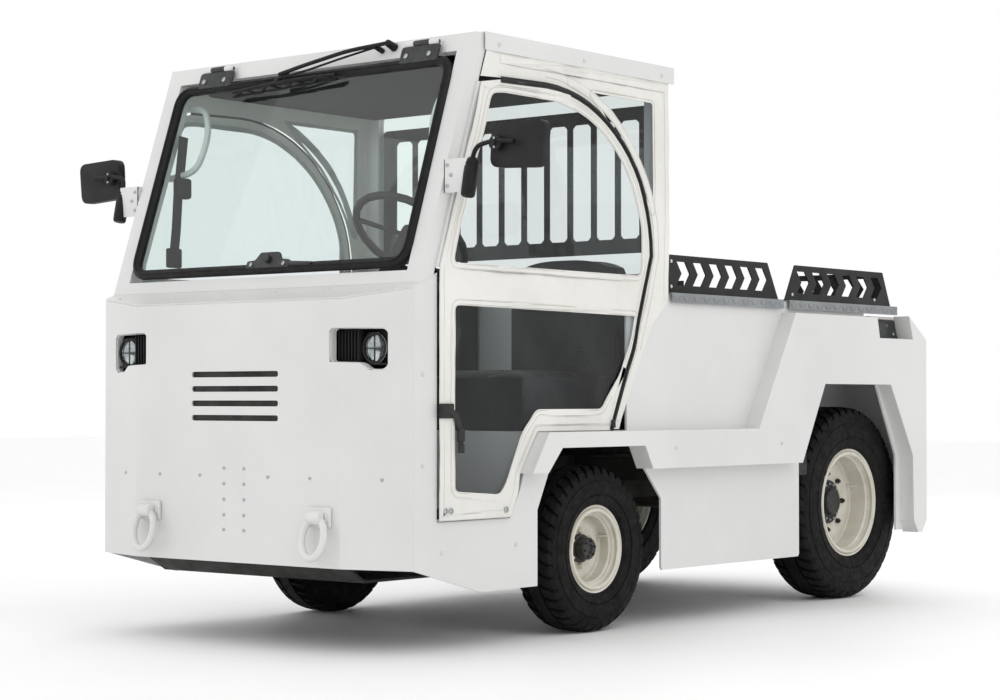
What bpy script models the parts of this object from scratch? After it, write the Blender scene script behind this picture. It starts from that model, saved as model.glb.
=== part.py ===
"""Airport baggage tug, modelled as an assembly of separate sub-parts.

Metres, +Z up.  The tug faces -Y, its left side is +X and it stands on Z = 0.
Lengths along the tug are given from the front axle; the empty "tug" holds
everything and puts the origin on the ground under the middle of the tug.
"""
import math

import bmesh
import bpy
from mathutils import Matrix, Vector

# ---------------------------------------------------------------- driving sizes
GAP = 0.0003                # between pieces that rest on each other
CLEAR = 0.006               # between a moving piece and its neighbours

FRONT_OVERHANG = 1.0175     # front axle to the face of the nose
REAR_OVERHANG = 2.0173      # front axle to the rear wall
WHEELBASE = 1.625
TOW_RING_REACH = 0.060      # ahead of the nose
HITCH_REACH = 0.120         # behind the rear wall

CAB_HALF = 0.6745           # centre line to the cab's side panels
BEAM_DEPTH = 0.0601         # how far the side beams stand out from the cab's sides
BODY_HALF = CAB_HALF + BEAM_DEPTH
NOSE_HALF = 0.4475          # half of the nose's flat face
NOSE_CORNER_Y = -0.951      # where the nose meets the cab side
LAMP_X = CAB_HALF - 0.1345  # middle of a headlamp
PLATE = 0.008               # steel side plates
SHEET = 0.006               # nose sheet
NOSE_FOLD = 1.04            # length along the tug of the folded sheet, over its thickness
TOP_SHEET = 0.005           # cowl sheet

NOSE_BOTTOM_Z = 0.254
NOSE_TOP_Z = 1.060
COWL_SLOPE = math.radians(22.0)
COWL_REAR_Y = -0.841        # also the front edge of the door opening

SILL_Z = 0.392              # lower edge of the door opening
SIDE_BOTTOM_Z = 0.175
SKIRT_BOTTOM_Z = 0.186
BEAM_BOTTOM_Z = 0.5286
BEAM_TOP_Z = 0.6542
BEAM_TIP_Y = -0.460         # front end of the side beam, at its foot
BEAM_FRONT_Y = -0.3775      # and at its top
FRONT_ARCH_Z = 0.605
REAR_ARCH_Z = 0.813
DECK_Z = 1.0672             # top of the rear body
LAMP_SHELF_Z = DECK_Z - 0.0782        # floor of the tail lamp notches
DECK_END_Y = REAR_OVERHANG - 0.135    # where the rear slope meets the deck
LAMP_REAR_Y = REAR_OVERHANG - 0.104
LAMP_FRONT_Y = REAR_OVERHANG - 0.359
SLANT_FOOT_Y = 0.8165       # where the rear body starts to rise from the beam
SLANT_TOP_Y = 1.0588

LEAN = math.radians(18.5)   # windscreen and front pillars from vertical
PILLAR_FRONT_Y = -0.917     # front edge of a pillar's foot
PILLAR_DEPTH = 0.060
PILLAR_WIDTH = 0.062
ROOF_Z = 1.872
ROOF_HALF = CAB_HALF + 0.0085
ROOF_FRONT_Y = -0.625
ROOF_REAR_Y = 0.372
ROOF_SHEET = 0.0035
ROOF_FLANGE = 0.052
CAB_REAR_Y = 0.335          # outer face of the rear cab wall
WALL = 0.030
REAR_WALL_T = 0.012
REAR_SILL_Z = DECK_Z + 0.1128         # lower edge of the rear window
GUARD_HALF = CAB_HALF - 0.0545
GUARD_FOOT_Z = DECK_Z + 0.1878
GUARD_H = ROOF_Z - 0.1170 - GUARD_FOOT_Z
RAIL_TUBE = 0.035

FRONT_TYRE_R = 0.270
FRONT_TYRE_W = 0.160
FRONT_TYRE_X = 0.565        # middle of a front tyre
FRONT_RIM_R = 0.1427
FRONT_BEAD_R = 0.1143
REAR_TYRE_R = 0.364
REAR_TYRE_W = 0.190
REAR_TYRE_X = 0.535
REAR_RIM_R = 0.2035
REAR_BEAD_R = 0.1800
BEAD_SHARE = 0.66           # width over a tyre's beads, as a share of its width
KINGPIN_X = 0.450
SPINDLE_R = 0.021
STUB_R = 0.030
STEER_ARM = 0.140
MIRROR_REACH = CAB_HALF + 0.3505      # centre line to the outer edge of a mirror

RAIL_X = 0.240              # middle of a chassis rail
RAIL_W = 0.080
RAIL_HIGH_Z = 0.480
RAIL_H = 0.080
FLOOR_Z = 0.400
FLOOR_T = 0.015
RAIL_LOW_Z = FLOOR_Z - FLOOR_T - RAIL_H - GAP
SEAT_DECK_Z = 0.655
SEAT_DECK_Y = -0.415

DOOR_T = 0.004
DOOR_X = CAB_HALF + 0.008   # inner face of a fabric door
WINDOW_T = 0.002
CURTAIN_X = CAB_HALF + 0.001

LID_T = 0.033
LID_SEAT = 0.0155            # deck to the underside of a lid
LID_SHEET = 0.005
LID_HALF = CAB_HALF + 0.0155
LID_HINGE_Y = 1.070
LID_LEAF_X = 0.450          # middle of a lid's hinge leaf
LID_HINGE_Z = DECK_Z + LID_SEAT + LID_T / 2
HINGE_R = 0.008
LID_GAP = 0.040
LID_FRONT_Y = 0.352
LID_REAR_Y = DECK_END_Y - 0.0123
CARGO_RAIL_H = 0.130
CARGO_RAIL_T = 0.005
CARGO_RAIL_X = CAB_HALF - 0.0095
CARGO_RETURN = 0.400        # rear leg of a rear cargo rail

SEAT_X = CAB_HALF - 0.3345  # middle of a seat
STEER_X = SEAT_X - 0.030
STEER_Y = -0.550
STEER_Z = 1.270
STEER_R = 0.190
STEER_TILT = math.radians(40.0)
SEAT_W = 0.460

ENGINE_LOW = (0.430, 0.400)         # (y, z) of the engine block's corners
ENGINE_HIGH = (WHEELBASE - 0.625, 0.960)

LENGTH = FRONT_OVERHANG + REAR_OVERHANG + TOW_RING_REACH + HITCH_REACH
FRONT_AXLE_Y = FRONT_OVERHANG + TOW_RING_REACH - LENGTH / 2

# -------------------------------------------------------------- scene and tools
for old in list(bpy.data.objects):
    bpy.data.objects.remove(old, do_unlink=True)

TUG = bpy.data.collections.new("airport_baggage_tug")
CUTTERS = bpy.data.collections.new("cutters")
bpy.context.scene.collection.children.link(TUG)
bpy.context.scene.collection.children.link(CUTTERS)

ORIGIN = bpy.data.objects.new("tug", None)
ORIGIN.location = (0.0, FRONT_AXLE_Y, 0.0)
TUG.objects.link(ORIGIN)

# turns that lay a flat outline drawn in XY along another plane
SIDE_VIEW = Matrix(((0, 0, 1), (1, 0, 0), (0, 1, 0))).to_4x4()      # (y, z), thick along X
FRONT_VIEW = Matrix(((1, 0, 0), (0, 0, -1), (0, 1, 0))).to_4x4()    # (x, z), thick along Y
TOP_VIEW = Matrix.Identity(4)                                       # (x, y), thick along Z


def material(name, colour, roughness, metallic=0.0, alpha=1.0):
    """A plain Principled material."""
    made = bpy.data.materials.new(name)
    made.use_nodes = True
    shader = made.node_tree.nodes["Principled BSDF"]
    shader.inputs["Base Color"].default_value = (*colour, 1.0)
    shader.inputs["Roughness"].default_value = roughness
    shader.inputs["Metallic"].default_value = metallic
    shader.inputs["Alpha"].default_value = alpha
    return made


WHITE_PAINT = material("white_paint", (0.80, 0.80, 0.78), 0.38)
BLACK_PAINT = material("black_paint", (0.02, 0.02, 0.02), 0.45)
FRAME_PAINT = material("frame_paint", (0.03, 0.03, 0.03), 0.60)
RIM_PAINT = material("rim_paint", (0.69, 0.66, 0.53), 0.40)
TYRE_RUBBER = material("tyre_rubber", (0.015, 0.015, 0.015), 0.80)
CANVAS = material("canvas", (0.78, 0.77, 0.73), 0.65)
CLEAR_VINYL = material("clear_vinyl", (0.05, 0.06, 0.06), 0.10, alpha=0.35)
GLASS = material("glass", (0.55, 0.66, 0.62), 0.05, alpha=0.35)
SEAL_RUBBER = material("seal_rubber", (0.01, 0.01, 0.01), 0.55)
CHECKER_PLATE = material("checker_plate", (0.60, 0.61, 0.62), 0.30, 1.0)
SEAT_VINYL = material("seat_vinyl", (0.02, 0.02, 0.02), 0.50)
CAB_PLASTIC = material("cab_plastic", (0.04, 0.04, 0.04), 0.55)
LAMP = material("lamp", (0.75, 0.76, 0.78), 0.15, 0.5)
RED_LENS = material("red_lens", (0.45, 0.02, 0.02), 0.20)
IRON = material("iron", (0.06, 0.06, 0.06), 0.60, 0.6)


def adopt(obj, paint=None, parent=ORIGIN):
    """Put an object in the tug's collection, or among the cutters if it has no paint."""
    for home in list(obj.users_collection):
        home.objects.unlink(obj)
    if paint is None:
        CUTTERS.objects.link(obj)
        obj.hide_render = True
        obj.display_type = "WIRE"
    else:
        TUG.objects.link(obj)
        obj.data.materials.clear()
        obj.data.materials.append(paint)
    obj.parent = parent
    return obj


def mesh_object(name, mesh, paint, place=Matrix.Identity(4), parent=ORIGIN):
    obj = bpy.data.objects.new(name, mesh)
    obj.matrix_local = place
    return adopt(obj, paint, parent)


def axis_empty(name, place, parent=ORIGIN):
    """An empty on a joint's axis, which carries the piece that turns there."""
    empty = bpy.data.objects.new(name, None)
    TUG.objects.link(empty)
    empty.parent = parent
    empty.matrix_local = place
    return empty


def block(name, low, high, paint=None, parent=ORIGIN):
    """A box between two corners."""
    mesh = bpy.data.meshes.new(name)
    work = bmesh.new()
    bmesh.ops.create_cube(work, size=1.0)
    low, high = Vector(low), Vector(high)
    size = high - low
    bmesh.ops.scale(work, vec=size, verts=work.verts)
    bmesh.ops.translate(work, vec=(low + high) / 2, verts=work.verts)
    work.to_mesh(mesh)
    work.free()
    return mesh_object(name, mesh, paint, parent=parent)


def cylinder(name, start, end, radius, paint=None, parent=ORIGIN, end_radius=None, sides=24):
    """A round bar, or a cone, between two points."""
    start, end = Vector(start), Vector(end)
    along = end - start
    mesh = bpy.data.meshes.new(name)
    work = bmesh.new()
    far_radius = radius if end_radius is None else end_radius
    bmesh.ops.create_cone(work, cap_ends=True, segments=sides, radius1=radius,
                          radius2=far_radius, depth=along.length)
    turn = along.to_track_quat("Z", "Y").to_matrix().to_4x4()
    bmesh.ops.transform(work, matrix=Matrix.Translation((start + end) / 2) @ turn, verts=work.verts)
    work.to_mesh(mesh)
    work.free()
    mesh.shade_smooth()
    mesh.set_sharp_from_angle(angle=math.radians(40))
    return mesh_object(name, mesh, paint, parent=parent)


def as_mesh(curve_object):
    """Turn a curve object into a welded mesh and remove the curve."""
    bpy.context.view_layer.update()
    evaluated = curve_object.evaluated_get(bpy.context.evaluated_depsgraph_get())
    mesh = bpy.data.meshes.new_from_object(evaluated)
    work = bmesh.new()
    work.from_mesh(mesh)
    bmesh.ops.remove_doubles(work, verts=work.verts, dist=0.00005)
    work.to_mesh(mesh)
    work.free()
    bpy.data.objects.remove(curve_object, do_unlink=True)
    return mesh


def plate(name, outlines, low, high, view, paint=None, parent=ORIGIN, place=Matrix.Identity(4)):
    """A flat plate: its outline first, then any holes, thick from low to high across the view."""
    curve = bpy.data.curves.new(name, "CURVE")
    curve.dimensions = "2D"
    curve.fill_mode = "BOTH"
    curve.extrude = (high - low) / 2
    for outline in outlines:
        spline = curve.splines.new("POLY")
        spline.points.add(len(outline) - 1)
        for point, (across, up) in zip(spline.points, outline):
            point.co = (across, up, 0.0, 1.0)
        spline.use_cyclic_u = True
    drawn = bpy.data.objects.new(name, curve)
    bpy.context.scene.collection.objects.link(drawn)
    mesh = as_mesh(drawn)
    # a front view is thick towards -Y, so its middle is measured the other way
    middle = (low + high) / 2
    if view is FRONT_VIEW:
        middle = -middle
    mesh.transform(view @ Matrix.Translation((0.0, 0.0, middle)))
    return mesh_object(name, mesh, paint, place, parent)


def tube(name, points, radius, paint=None, parent=ORIGIN, closed=False, bend=None):
    """A round rod along points; bend rounds its corners."""
    curve = bpy.data.curves.new(name, "CURVE")
    curve.dimensions = "3D"
    curve.bevel_depth = radius
    curve.bevel_resolution = 2
    curve.use_fill_caps = not closed
    path = points if bend is None else rounded_path(points, bend)
    spline = curve.splines.new("POLY")
    spline.points.add(len(path) - 1)
    for point, place in zip(spline.points, path):
        point.co = (*place, 1.0)
    spline.use_cyclic_u = closed
    drawn = bpy.data.objects.new(name, curve)
    bpy.context.scene.collection.objects.link(drawn)
    return mesh_object(name, as_mesh(drawn), paint, parent=parent)


def rounded_path(points, bend, steps=4):
    """The points of an open path with each inner corner rounded to about the bend radius."""
    path = [Vector(points[0])]
    for before, corner, after in zip(points, points[1:], points[2:]):
        before, corner, after = Vector(before), Vector(corner), Vector(after)
        first = corner + (before - corner).normalized() * bend
        last = corner + (after - corner).normalized() * bend
        for step in range(steps + 1):
            t = step / steps
            path.append(first * (1 - t) ** 2 + corner * 2 * t * (1 - t) + last * t ** 2)
    path.append(Vector(points[-1]))
    return path


def rounded(points, radius, steps=3):
    """A closed outline with every corner rounded."""
    path = []
    for index, corner in enumerate(points):
        corner = Vector(corner)
        before = Vector(points[index - 1])
        after = Vector(points[(index + 1) % len(points)])
        reach = min(radius, (before - corner).length / 2.2, (after - corner).length / 2.2)
        first = corner + (before - corner).normalized() * reach
        last = corner + (after - corner).normalized() * reach
        for step in range(steps + 1):
            t = step / steps
            path.append(first * (1 - t) ** 2 + corner * 2 * t * (1 - t) + last * t ** 2)
    return [tuple(point) for point in path]


def rectangle(low_a, low_b, high_a, high_b):
    return [(low_a, low_b), (high_a, low_b), (high_a, high_b), (low_a, high_b)]


def turned(name, profile, paint, place, parent, ring=False, steps=28):
    """A solid turned about its own Z: the profile's (radius, height) points run down its outer side."""
    mesh = bpy.data.meshes.new(name)
    points = [(radius, 0.0, height) for radius, height in profile]
    edges = [(i, i + 1) for i in range(len(points) - 1)]
    if ring:
        edges.append((len(points) - 1, 0))
    mesh.from_pydata(points, edges, [])
    obj = mesh_object(name, mesh, paint, place, parent)
    screw = obj.modifiers.new("turn", "SCREW")
    screw.steps = steps
    screw.render_steps = steps
    screw.use_merge_vertices = True
    screw.merge_threshold = 0.00002
    screw.use_smooth_shade = True
    return obj


def boolean(target, operand, operation):
    modifier = target.modifiers.new(operation.lower(), "BOOLEAN")
    modifier.operation = operation
    modifier.object = operand
    modifier.solver = "EXACT"


def join(target, *operands):
    for operand in operands:
        boolean(target, operand, "UNION")
    return target


def cut(target, *operands):
    for operand in operands:
        boolean(target, operand, "DIFFERENCE")
    return target


def cowl_z(y):
    """Height of the cowl's upper face."""
    return NOSE_TOP_Z + (y + FRONT_OVERHANG) * math.tan(COWL_SLOPE)


def screen_y(z):
    """Front face of the windscreen surround at a height."""
    foot = cowl_z(PILLAR_FRONT_Y)
    return PILLAR_FRONT_Y + (z - foot) * math.tan(LEAN)


SIDES = (("left", 1), ("right", -1))


# ------------------------------------------------------------------- body shell
def side_x(side, near, far):
    """Low and high X of a piece between two distances from the centre line."""
    return (near, far) if side > 0 else (-far, -near)


def nose_panel():
    """Bent front sheet with its lamp windows and cooling slots."""
    wing = SHEET * NOSE_FOLD
    outline = [(-CAB_HALF, NOSE_CORNER_Y), (-NOSE_HALF, -FRONT_OVERHANG), (NOSE_HALF, -FRONT_OVERHANG),
               (CAB_HALF, NOSE_CORNER_Y), (CAB_HALF, NOSE_CORNER_Y + wing),
               (NOSE_HALF - 0.001, SHEET - FRONT_OVERHANG), (-NOSE_HALF + 0.001, SHEET - FRONT_OVERHANG),
               (-CAB_HALF, NOSE_CORNER_Y + wing)]
    top = cowl_z(NOSE_CORNER_Y) + 0.02
    panel = plate("nose_panel", [outline], NOSE_BOTTOM_Z, top, TOP_VIEW, WHITE_PAINT)
    under_cowl = TOP_SHEET / math.cos(COWL_SLOPE) + GAP
    front, back = -FRONT_OVERHANG - 0.05, NOSE_CORNER_Y + 0.05
    above = [(front, cowl_z(front) - under_cowl), (back, cowl_z(back) - under_cowl),
             (back, top + 0.05), (front, top + 0.05)]
    cut(panel, plate("nose_top_cut", [above], -0.8, 0.8, SIDE_VIEW))
    # across from the lamp's middle, and height
    window = [(-0.137, 0.868), (-0.030, 0.864), (0.000, 0.843), (0.045, 0.843), (0.059, 0.857),
              (0.059, 0.955), (0.047, 0.967), (-0.128, 0.969), (-0.137, 0.960)]
    for name, side in SIDES:
        shape = [(side * (LAMP_X + x), z) for x, z in window]
        cut(panel, plate(f"lamp_window_{name}", [shape], -1.10, -0.90, FRONT_VIEW))
    for row in range(4):
        low = 0.690 + row * 0.045
        slot = rounded(rectangle(-0.190, low, 0.190, low + 0.018), 0.009)
        cut(panel, plate(f"nose_slot_{row}", [slot], -1.10, -0.98, FRONT_VIEW))


def cowl():
    """Sloping sheet from the nose to the door opening; the windscreen surround stands on it."""
    slope = math.cos(COWL_SLOPE)
    corner = (NOSE_CORNER_Y + FRONT_OVERHANG) / slope
    rear = (COWL_REAR_Y + FRONT_OVERHANG) / slope
    outline = [(-CAB_HALF, corner), (-NOSE_HALF, 0.0), (NOSE_HALF, 0.0), (CAB_HALF, corner),
               (CAB_HALF, rear), (-CAB_HALF, rear)]
    place = Matrix.Translation((0.0, -FRONT_OVERHANG, NOSE_TOP_Z)) @ Matrix.Rotation(COWL_SLOPE, 4, "X")
    plate("cowl", [outline], -TOP_SHEET, 0.0, TOP_VIEW, WHITE_PAINT, place=place)


def body_side(name, side):
    """One welded side: lower panels, wheel arches, side beam, rear wing and its end."""
    under_cowl = TOP_SHEET / math.cos(COWL_SLOPE) + GAP
    front = NOSE_CORNER_Y + SHEET * NOSE_FOLD + GAP
    wheel = WHEELBASE
    sheet = [(front, NOSE_BOTTOM_Z), (-0.642, SIDE_BOTTOM_Z), (-0.362, SIDE_BOTTOM_Z), (-0.362, 0.412),
             (-0.304, BEAM_BOTTOM_Z), (-0.300, FRONT_ARCH_Z), (0.140, FRONT_ARCH_Z), (0.304, 0.426),
             (0.304, SKIRT_BOTTOM_Z + 0.008), (0.312, SKIRT_BOTTOM_Z), (wheel - 0.461, SKIRT_BOTTOM_Z),
             (wheel - 0.453, SKIRT_BOTTOM_Z + 0.008), (wheel - 0.453, 0.560), (wheel - 0.325, REAR_ARCH_Z),
             (wheel + 0.105, REAR_ARCH_Z), (wheel + 0.255, 0.540), (wheel + 0.255, 0.250),
             (REAR_OVERHANG, 0.250), (REAR_OVERHANG, LAMP_SHELF_Z),
             (0.110, LAMP_SHELF_Z), (0.110, BEAM_TOP_Z), (-0.384, BEAM_TOP_Z), (-0.449, 0.477),
             (-0.498, SILL_Z), (COWL_REAR_Y, SILL_Z), (COWL_REAR_Y, cowl_z(COWL_REAR_Y) - under_cowl),
             (front, cowl_z(front) - under_cowl)]
    low, high = side_x(side, CAB_HALF - PLATE, CAB_HALF)
    panel = plate(f"body_side_{name}", [sheet], low, high, SIDE_VIEW, WHITE_PAINT)
    under_lid = DECK_Z + LID_SEAT + LID_T - LID_SHEET - GAP
    raised = rectangle(0.110, LAMP_SHELF_Z - 0.089, LAMP_FRONT_Y - 0.018, under_lid)
    upper = plate(f"upper_side_{name}", [raised], low, high, SIDE_VIEW)
    beam = [(BEAM_TIP_Y, BEAM_BOTTOM_Z), (-0.380, BEAM_BOTTOM_Z), (-0.3095, FRONT_ARCH_Z),
            (0.1317, FRONT_ARCH_Z), (0.1764, BEAM_BOTTOM_Z),
            (wheel - 0.5211, BEAM_BOTTOM_Z), (wheel - 0.3643, REAR_ARCH_Z), (wheel + 0.115, REAR_ARCH_Z),
            (wheel + 0.284, 0.540), (wheel + 0.290, 0.288), (REAR_OVERHANG - 0.067, 0.240),
            (REAR_OVERHANG - 0.037, 0.240), (REAR_OVERHANG, 0.288), (REAR_OVERHANG, LAMP_SHELF_Z),
            (DECK_END_Y, DECK_Z + 0.011), (LAMP_REAR_Y, LAMP_SHELF_Z), (LAMP_FRONT_Y, LAMP_SHELF_Z),
            (LAMP_FRONT_Y - 0.018, DECK_Z),
            (SLANT_TOP_Y, DECK_Z), (SLANT_FOOT_Y, BEAM_TOP_Z), (BEAM_FRONT_Y, BEAM_TOP_Z)]
    low, high = side_x(side, CAB_HALF - PLATE, BODY_HALF)
    outer = plate(f"side_beam_{name}", [beam], low, high, SIDE_VIEW)
    join(panel, upper, outer)


def rear_wall():
    """Rear wall with its sloping top and the shelf under the deck."""
    top, shelf = DECK_Z + 0.008, DECK_END_Y - 0.182
    wall = [(REAR_OVERHANG, 0.300), (REAR_OVERHANG, LAMP_SHELF_Z), (DECK_END_Y + 0.003, top), (shelf, top),
            (shelf, top - 0.010), (DECK_END_Y, top - 0.010),
            (REAR_OVERHANG - REAR_WALL_T, LAMP_SHELF_Z - 0.005), (REAR_OVERHANG - REAR_WALL_T, 0.300)]
    half = CAB_HALF - PLATE - GAP
    plate("rear_wall", [wall], -half, half, SIDE_VIEW, WHITE_PAINT)


def tail_lamp(name, side):
    """Dark plate closing the notch in the wing, with a lamp on it."""
    low_z, high_z = LAMP_SHELF_Z + GAP, DECK_Z - 0.007
    shape = [(LAMP_FRONT_Y + 0.004, low_z), (LAMP_REAR_Y - 0.009, low_z), (DECK_END_Y - 0.004, high_z),
             (LAMP_FRONT_Y + 0.032, high_z)]
    near = CAB_HALF - PLATE + 0.001
    low, high = side_x(side, near, near + 0.006)
    backing = plate(f"tail_lamp_{name}", [shape], low, high, SIDE_VIEW, RED_LENS)
    x = side * (near + 0.003)
    y, z = LAMP_FRONT_Y + 0.142, LAMP_SHELF_Z + 0.035
    lamp = cylinder(f"tail_lens_{name}", (x, y, z), (x + side * 0.026, y, z), 0.026)
    join(backing, lamp)


def roof():
    """Flat sheet roof with turned-down sides."""
    top = ROOF_Z + ROOF_SHEET
    foot = ROOF_Z - ROOF_FLANGE
    inner = ROOF_HALF - ROOF_SHEET
    section = [(-ROOF_HALF, foot), (-ROOF_HALF, top), (ROOF_HALF, top), (ROOF_HALF, foot),
               (inner, foot), (inner, ROOF_Z), (-inner, ROOF_Z), (-inner, foot)]
    plate("roof", [section], ROOF_FRONT_Y, ROOF_REAR_Y, FRONT_VIEW, WHITE_PAINT)


# -------------------------------------------------------------------------- cab
def cab_frame():
    """Front pillars, header and sill, roof rails, rear posts and rear wall, all welded."""
    top = ROOF_Z - GAP
    foot_front = PILLAR_FRONT_Y
    foot_back = PILLAR_FRONT_Y + PILLAR_DEPTH
    foot = [(foot_front, cowl_z(foot_front) + GAP), (foot_back, cowl_z(foot_back) + GAP),
            (screen_y(top) + PILLAR_DEPTH, top), (screen_y(top), top)]
    inner = CAB_HALF - PILLAR_WIDTH
    frame = plate("cab_frame", [foot], inner, CAB_HALF, SIDE_VIEW, WHITE_PAINT)
    other = plate("right_pillar", [foot], -CAB_HALF, -inner, SIDE_VIEW)
    header_z = top - 0.055
    header = [(screen_y(header_z), header_z), (screen_y(header_z) + PILLAR_DEPTH, header_z),
              (screen_y(top) + PILLAR_DEPTH, top), (screen_y(top), top)]
    sill_z = cowl_z(foot_back) + 0.014
    sill = [(foot_front, cowl_z(foot_front) + GAP), (foot_back, cowl_z(foot_back) + GAP),
            (screen_y(sill_z) + PILLAR_DEPTH, sill_z), (screen_y(sill_z), sill_z)]
    join(frame, other, plate("header", [header], -inner - 0.027, inner + 0.027, SIDE_VIEW),
         plate("screen_sill", [sill], -inner - 0.027, inner + 0.027, SIDE_VIEW))
    half = CAB_HALF - PLATE - GAP
    rail_front = screen_y(top) + PILLAR_DEPTH - 0.02
    for name, side in SIDES:
        near, far = side_x(side, half - RAIL_TUBE, half)
        join(frame, block(f"roof_rail_{name}", (near, rail_front, top - RAIL_TUBE),
                          (far, CAB_REAR_Y - 0.005, top)))
        strip = [(pillar_edge(1.15) - 0.012, 1.150), (pillar_edge(1.15) + 0.010, 1.150),
                 (pillar_edge(1.72) + 0.010, 1.720), (pillar_edge(1.72) - 0.012, 1.720)]
        near, far = side_x(side, CAB_HALF - 0.002, DOOR_X - 0.0005)
        join(frame, plate(f"door_strip_{name}", [strip], near, far, SIDE_VIEW))
    wall = rectangle(-half, SEAT_DECK_Z + GAP, half, top)
    hole = rounded(rectangle(-half + 0.06, REAR_SILL_Z, half - 0.06, top - 0.06), 0.03)
    join(frame, plate("rear_cab_wall", [wall, hole], CAB_REAR_Y - WALL, CAB_REAR_Y, FRONT_VIEW))


def windscreen():
    """Glass in a rubber-edged frame, let into the surround between the pillars."""
    low_z = cowl_z(PILLAR_FRONT_Y + PILLAR_DEPTH) + 0.014 + GAP
    high_z = ROOF_Z - GAP - 0.055 - GAP
    half = CAB_HALF - PILLAR_WIDTH - GAP
    height = (high_z - low_z) / math.cos(LEAN)
    place = Matrix.Translation((0.0, screen_y(low_z), low_z)) @ Matrix.Rotation(-LEAN, 4, "X")
    edge = 0.026
    outer = rounded(rectangle(-half, 0.012, half, height - 0.012), 0.045, 5)
    inner = rounded(rectangle(-half + edge, 0.012 + edge, half - edge, height - 0.012 - edge), 0.030, 5)
    pane = rounded(rectangle(-half + edge + GAP, 0.012 + edge + GAP, half - edge - GAP,
                             height - 0.012 - edge - GAP), 0.030, 5)
    plate("windscreen_frame", [outer, inner], -0.010, 0.020, FRONT_VIEW, SEAL_RUBBER, place=place)
    plate("windscreen", [pane], 0.002, 0.008, FRONT_VIEW, GLASS, place=place)


def rear_window():
    half = CAB_HALF - PLATE - 0.06 - 2 * GAP
    top = ROOF_Z - GAP - 0.06
    pane = rounded(rectangle(-half, REAR_SILL_Z + GAP, half, top - GAP), 0.03)
    plate("rear_window", [pane], CAB_REAR_Y - 0.018, CAB_REAR_Y - 0.012, FRONT_VIEW, GLASS)


def rear_guard():
    """Plate with upright slots behind the rear window, leaning back from its foot."""
    half, height = GUARD_HALF, GUARD_H
    holes = []
    pitch = (2 * half - 0.107) / 11
    for index in range(-5, 6):
        middle = index * pitch
        holes.append(rounded(rectangle(middle - 0.040, 0.050, middle + 0.040, height - 0.045), 0.012, 1))
    outline = rounded(rectangle(-half, 0.0, half, height), 0.02)
    place = Matrix.Translation((0.0, CAB_REAR_Y + GAP, GUARD_FOOT_Z))
    guard = plate("rear_guard", [outline], 0.012, 0.018, FRONT_VIEW, BLACK_PAINT, place=place)
    cut(guard, plate("guard_slots", holes, 0.0, 0.030, FRONT_VIEW, place=place))
    for name, side in SIDES:
        low, high = side_x(side, half - 0.05, half - 0.01)
        for level, z in (("low", GUARD_FOOT_Z + 0.007), ("high", GUARD_FOOT_Z + height - 0.040)):
            foot = block(f"guard_foot_{level}_{name}", (low, CAB_REAR_Y + GAP, z),
                         (high, CAB_REAR_Y + 0.015, z + 0.03))
            join(guard, foot)


def zip_arc(offset):
    """The zip's line, from the roof to the beam, moved in towards the door by offset."""
    top_y, top_z = -0.330, 1.743 - offset
    points = [(-0.560, 1.737 - offset)]
    centre = Vector((top_y, 1.233))
    reach = (0.565 - offset, 0.510 - offset)
    for step in range(9):
        angle = math.radians(90 - step * 90 / 8)
        points.append((centre.x + reach[0] * math.cos(angle), centre.y + reach[1] * math.sin(angle)))
    points.append((0.129 - offset, 0.919))
    points.append((0.010 - offset, BEAM_TOP_Z + CLEAR))
    return points


def pillar_edge(z):
    """Rear edge of the front pillar at a height."""
    return screen_y(z) + PILLAR_DEPTH


def door_outline():
    """Fabric door: its front edge up the pillar, the zip down the back, over the beam to the sill."""
    front = [(COWL_REAR_Y, SILL_Z + 0.004), (COWL_REAR_Y, 1.125), (pillar_edge(1.15), 1.150),
             (pillar_edge(1.72), 1.720)]
    foot = [(BEAM_FRONT_Y - 1.2 * CLEAR, BEAM_TOP_Z + CLEAR), (BEAM_TIP_Y - 2 * CLEAR, BEAM_BOTTOM_Z - 0.003),
            (-0.470, 0.470), (-0.505, SILL_Z + 0.004)]
    return front + zip_arc(0.0) + foot


def fabric_door(name, side):
    """Soft door on the front pillar; both windows are cut, and one clear sheet backs them."""
    upper = [(-0.777, 1.165), (-0.745, 1.290), (-0.598, 1.690)]
    upper += [(-0.545, 1.697)] + [(y, z) for y, z in zip_arc(0.045)[1:8]] + [(0.180, 1.200), (0.169, 1.165)]
    lower = [(-0.772, 0.482), (-0.560, 0.467), (-0.530, 0.500), (-0.452, 0.655), (-0.385, 0.726),
             (-0.047, 0.726), (0.060, 0.840), (0.124, 0.968), (0.152, 1.030), (-0.772, 1.038)]
    low, high = side_x(side, DOOR_X, DOOR_X + DOOR_T)
    hinge_z = 1.150
    place = Matrix.Translation((side * (DOOR_X + DOOR_T / 2), pillar_edge(hinge_z), hinge_z))
    place = place @ Matrix.Rotation(-LEAN, 4, "X")
    hinge = axis_empty(f"{name}_door_hinge", place)
    back = place.inverted()
    outlines = [door_outline(), rounded(upper, 0.02, 2), rounded(lower, 0.02, 2)]
    plate(f"{name}_door", outlines, low, high, SIDE_VIEW, CANVAS, hinge, back)
    sheet = [(-0.790, 0.455), (-0.555, 0.450), (-0.520, 0.475), (-0.440, 0.640), (-0.375, 0.706),
             (-0.035, 0.706), (0.065, 0.835), (0.112, 0.960), (0.165, 1.120)]
    sheet += list(reversed(zip_arc(0.030)[1:9])) + [(-0.560, 1.710), (-0.625, 1.700), (-0.795, 1.160)]
    low, high = side_x(side, DOOR_X - GAP - WINDOW_T, DOOR_X - GAP)
    plate(f"{name}_door_window", [sheet], low, high, SIDE_VIEW, CLEAR_VINYL, hinge, back)


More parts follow.
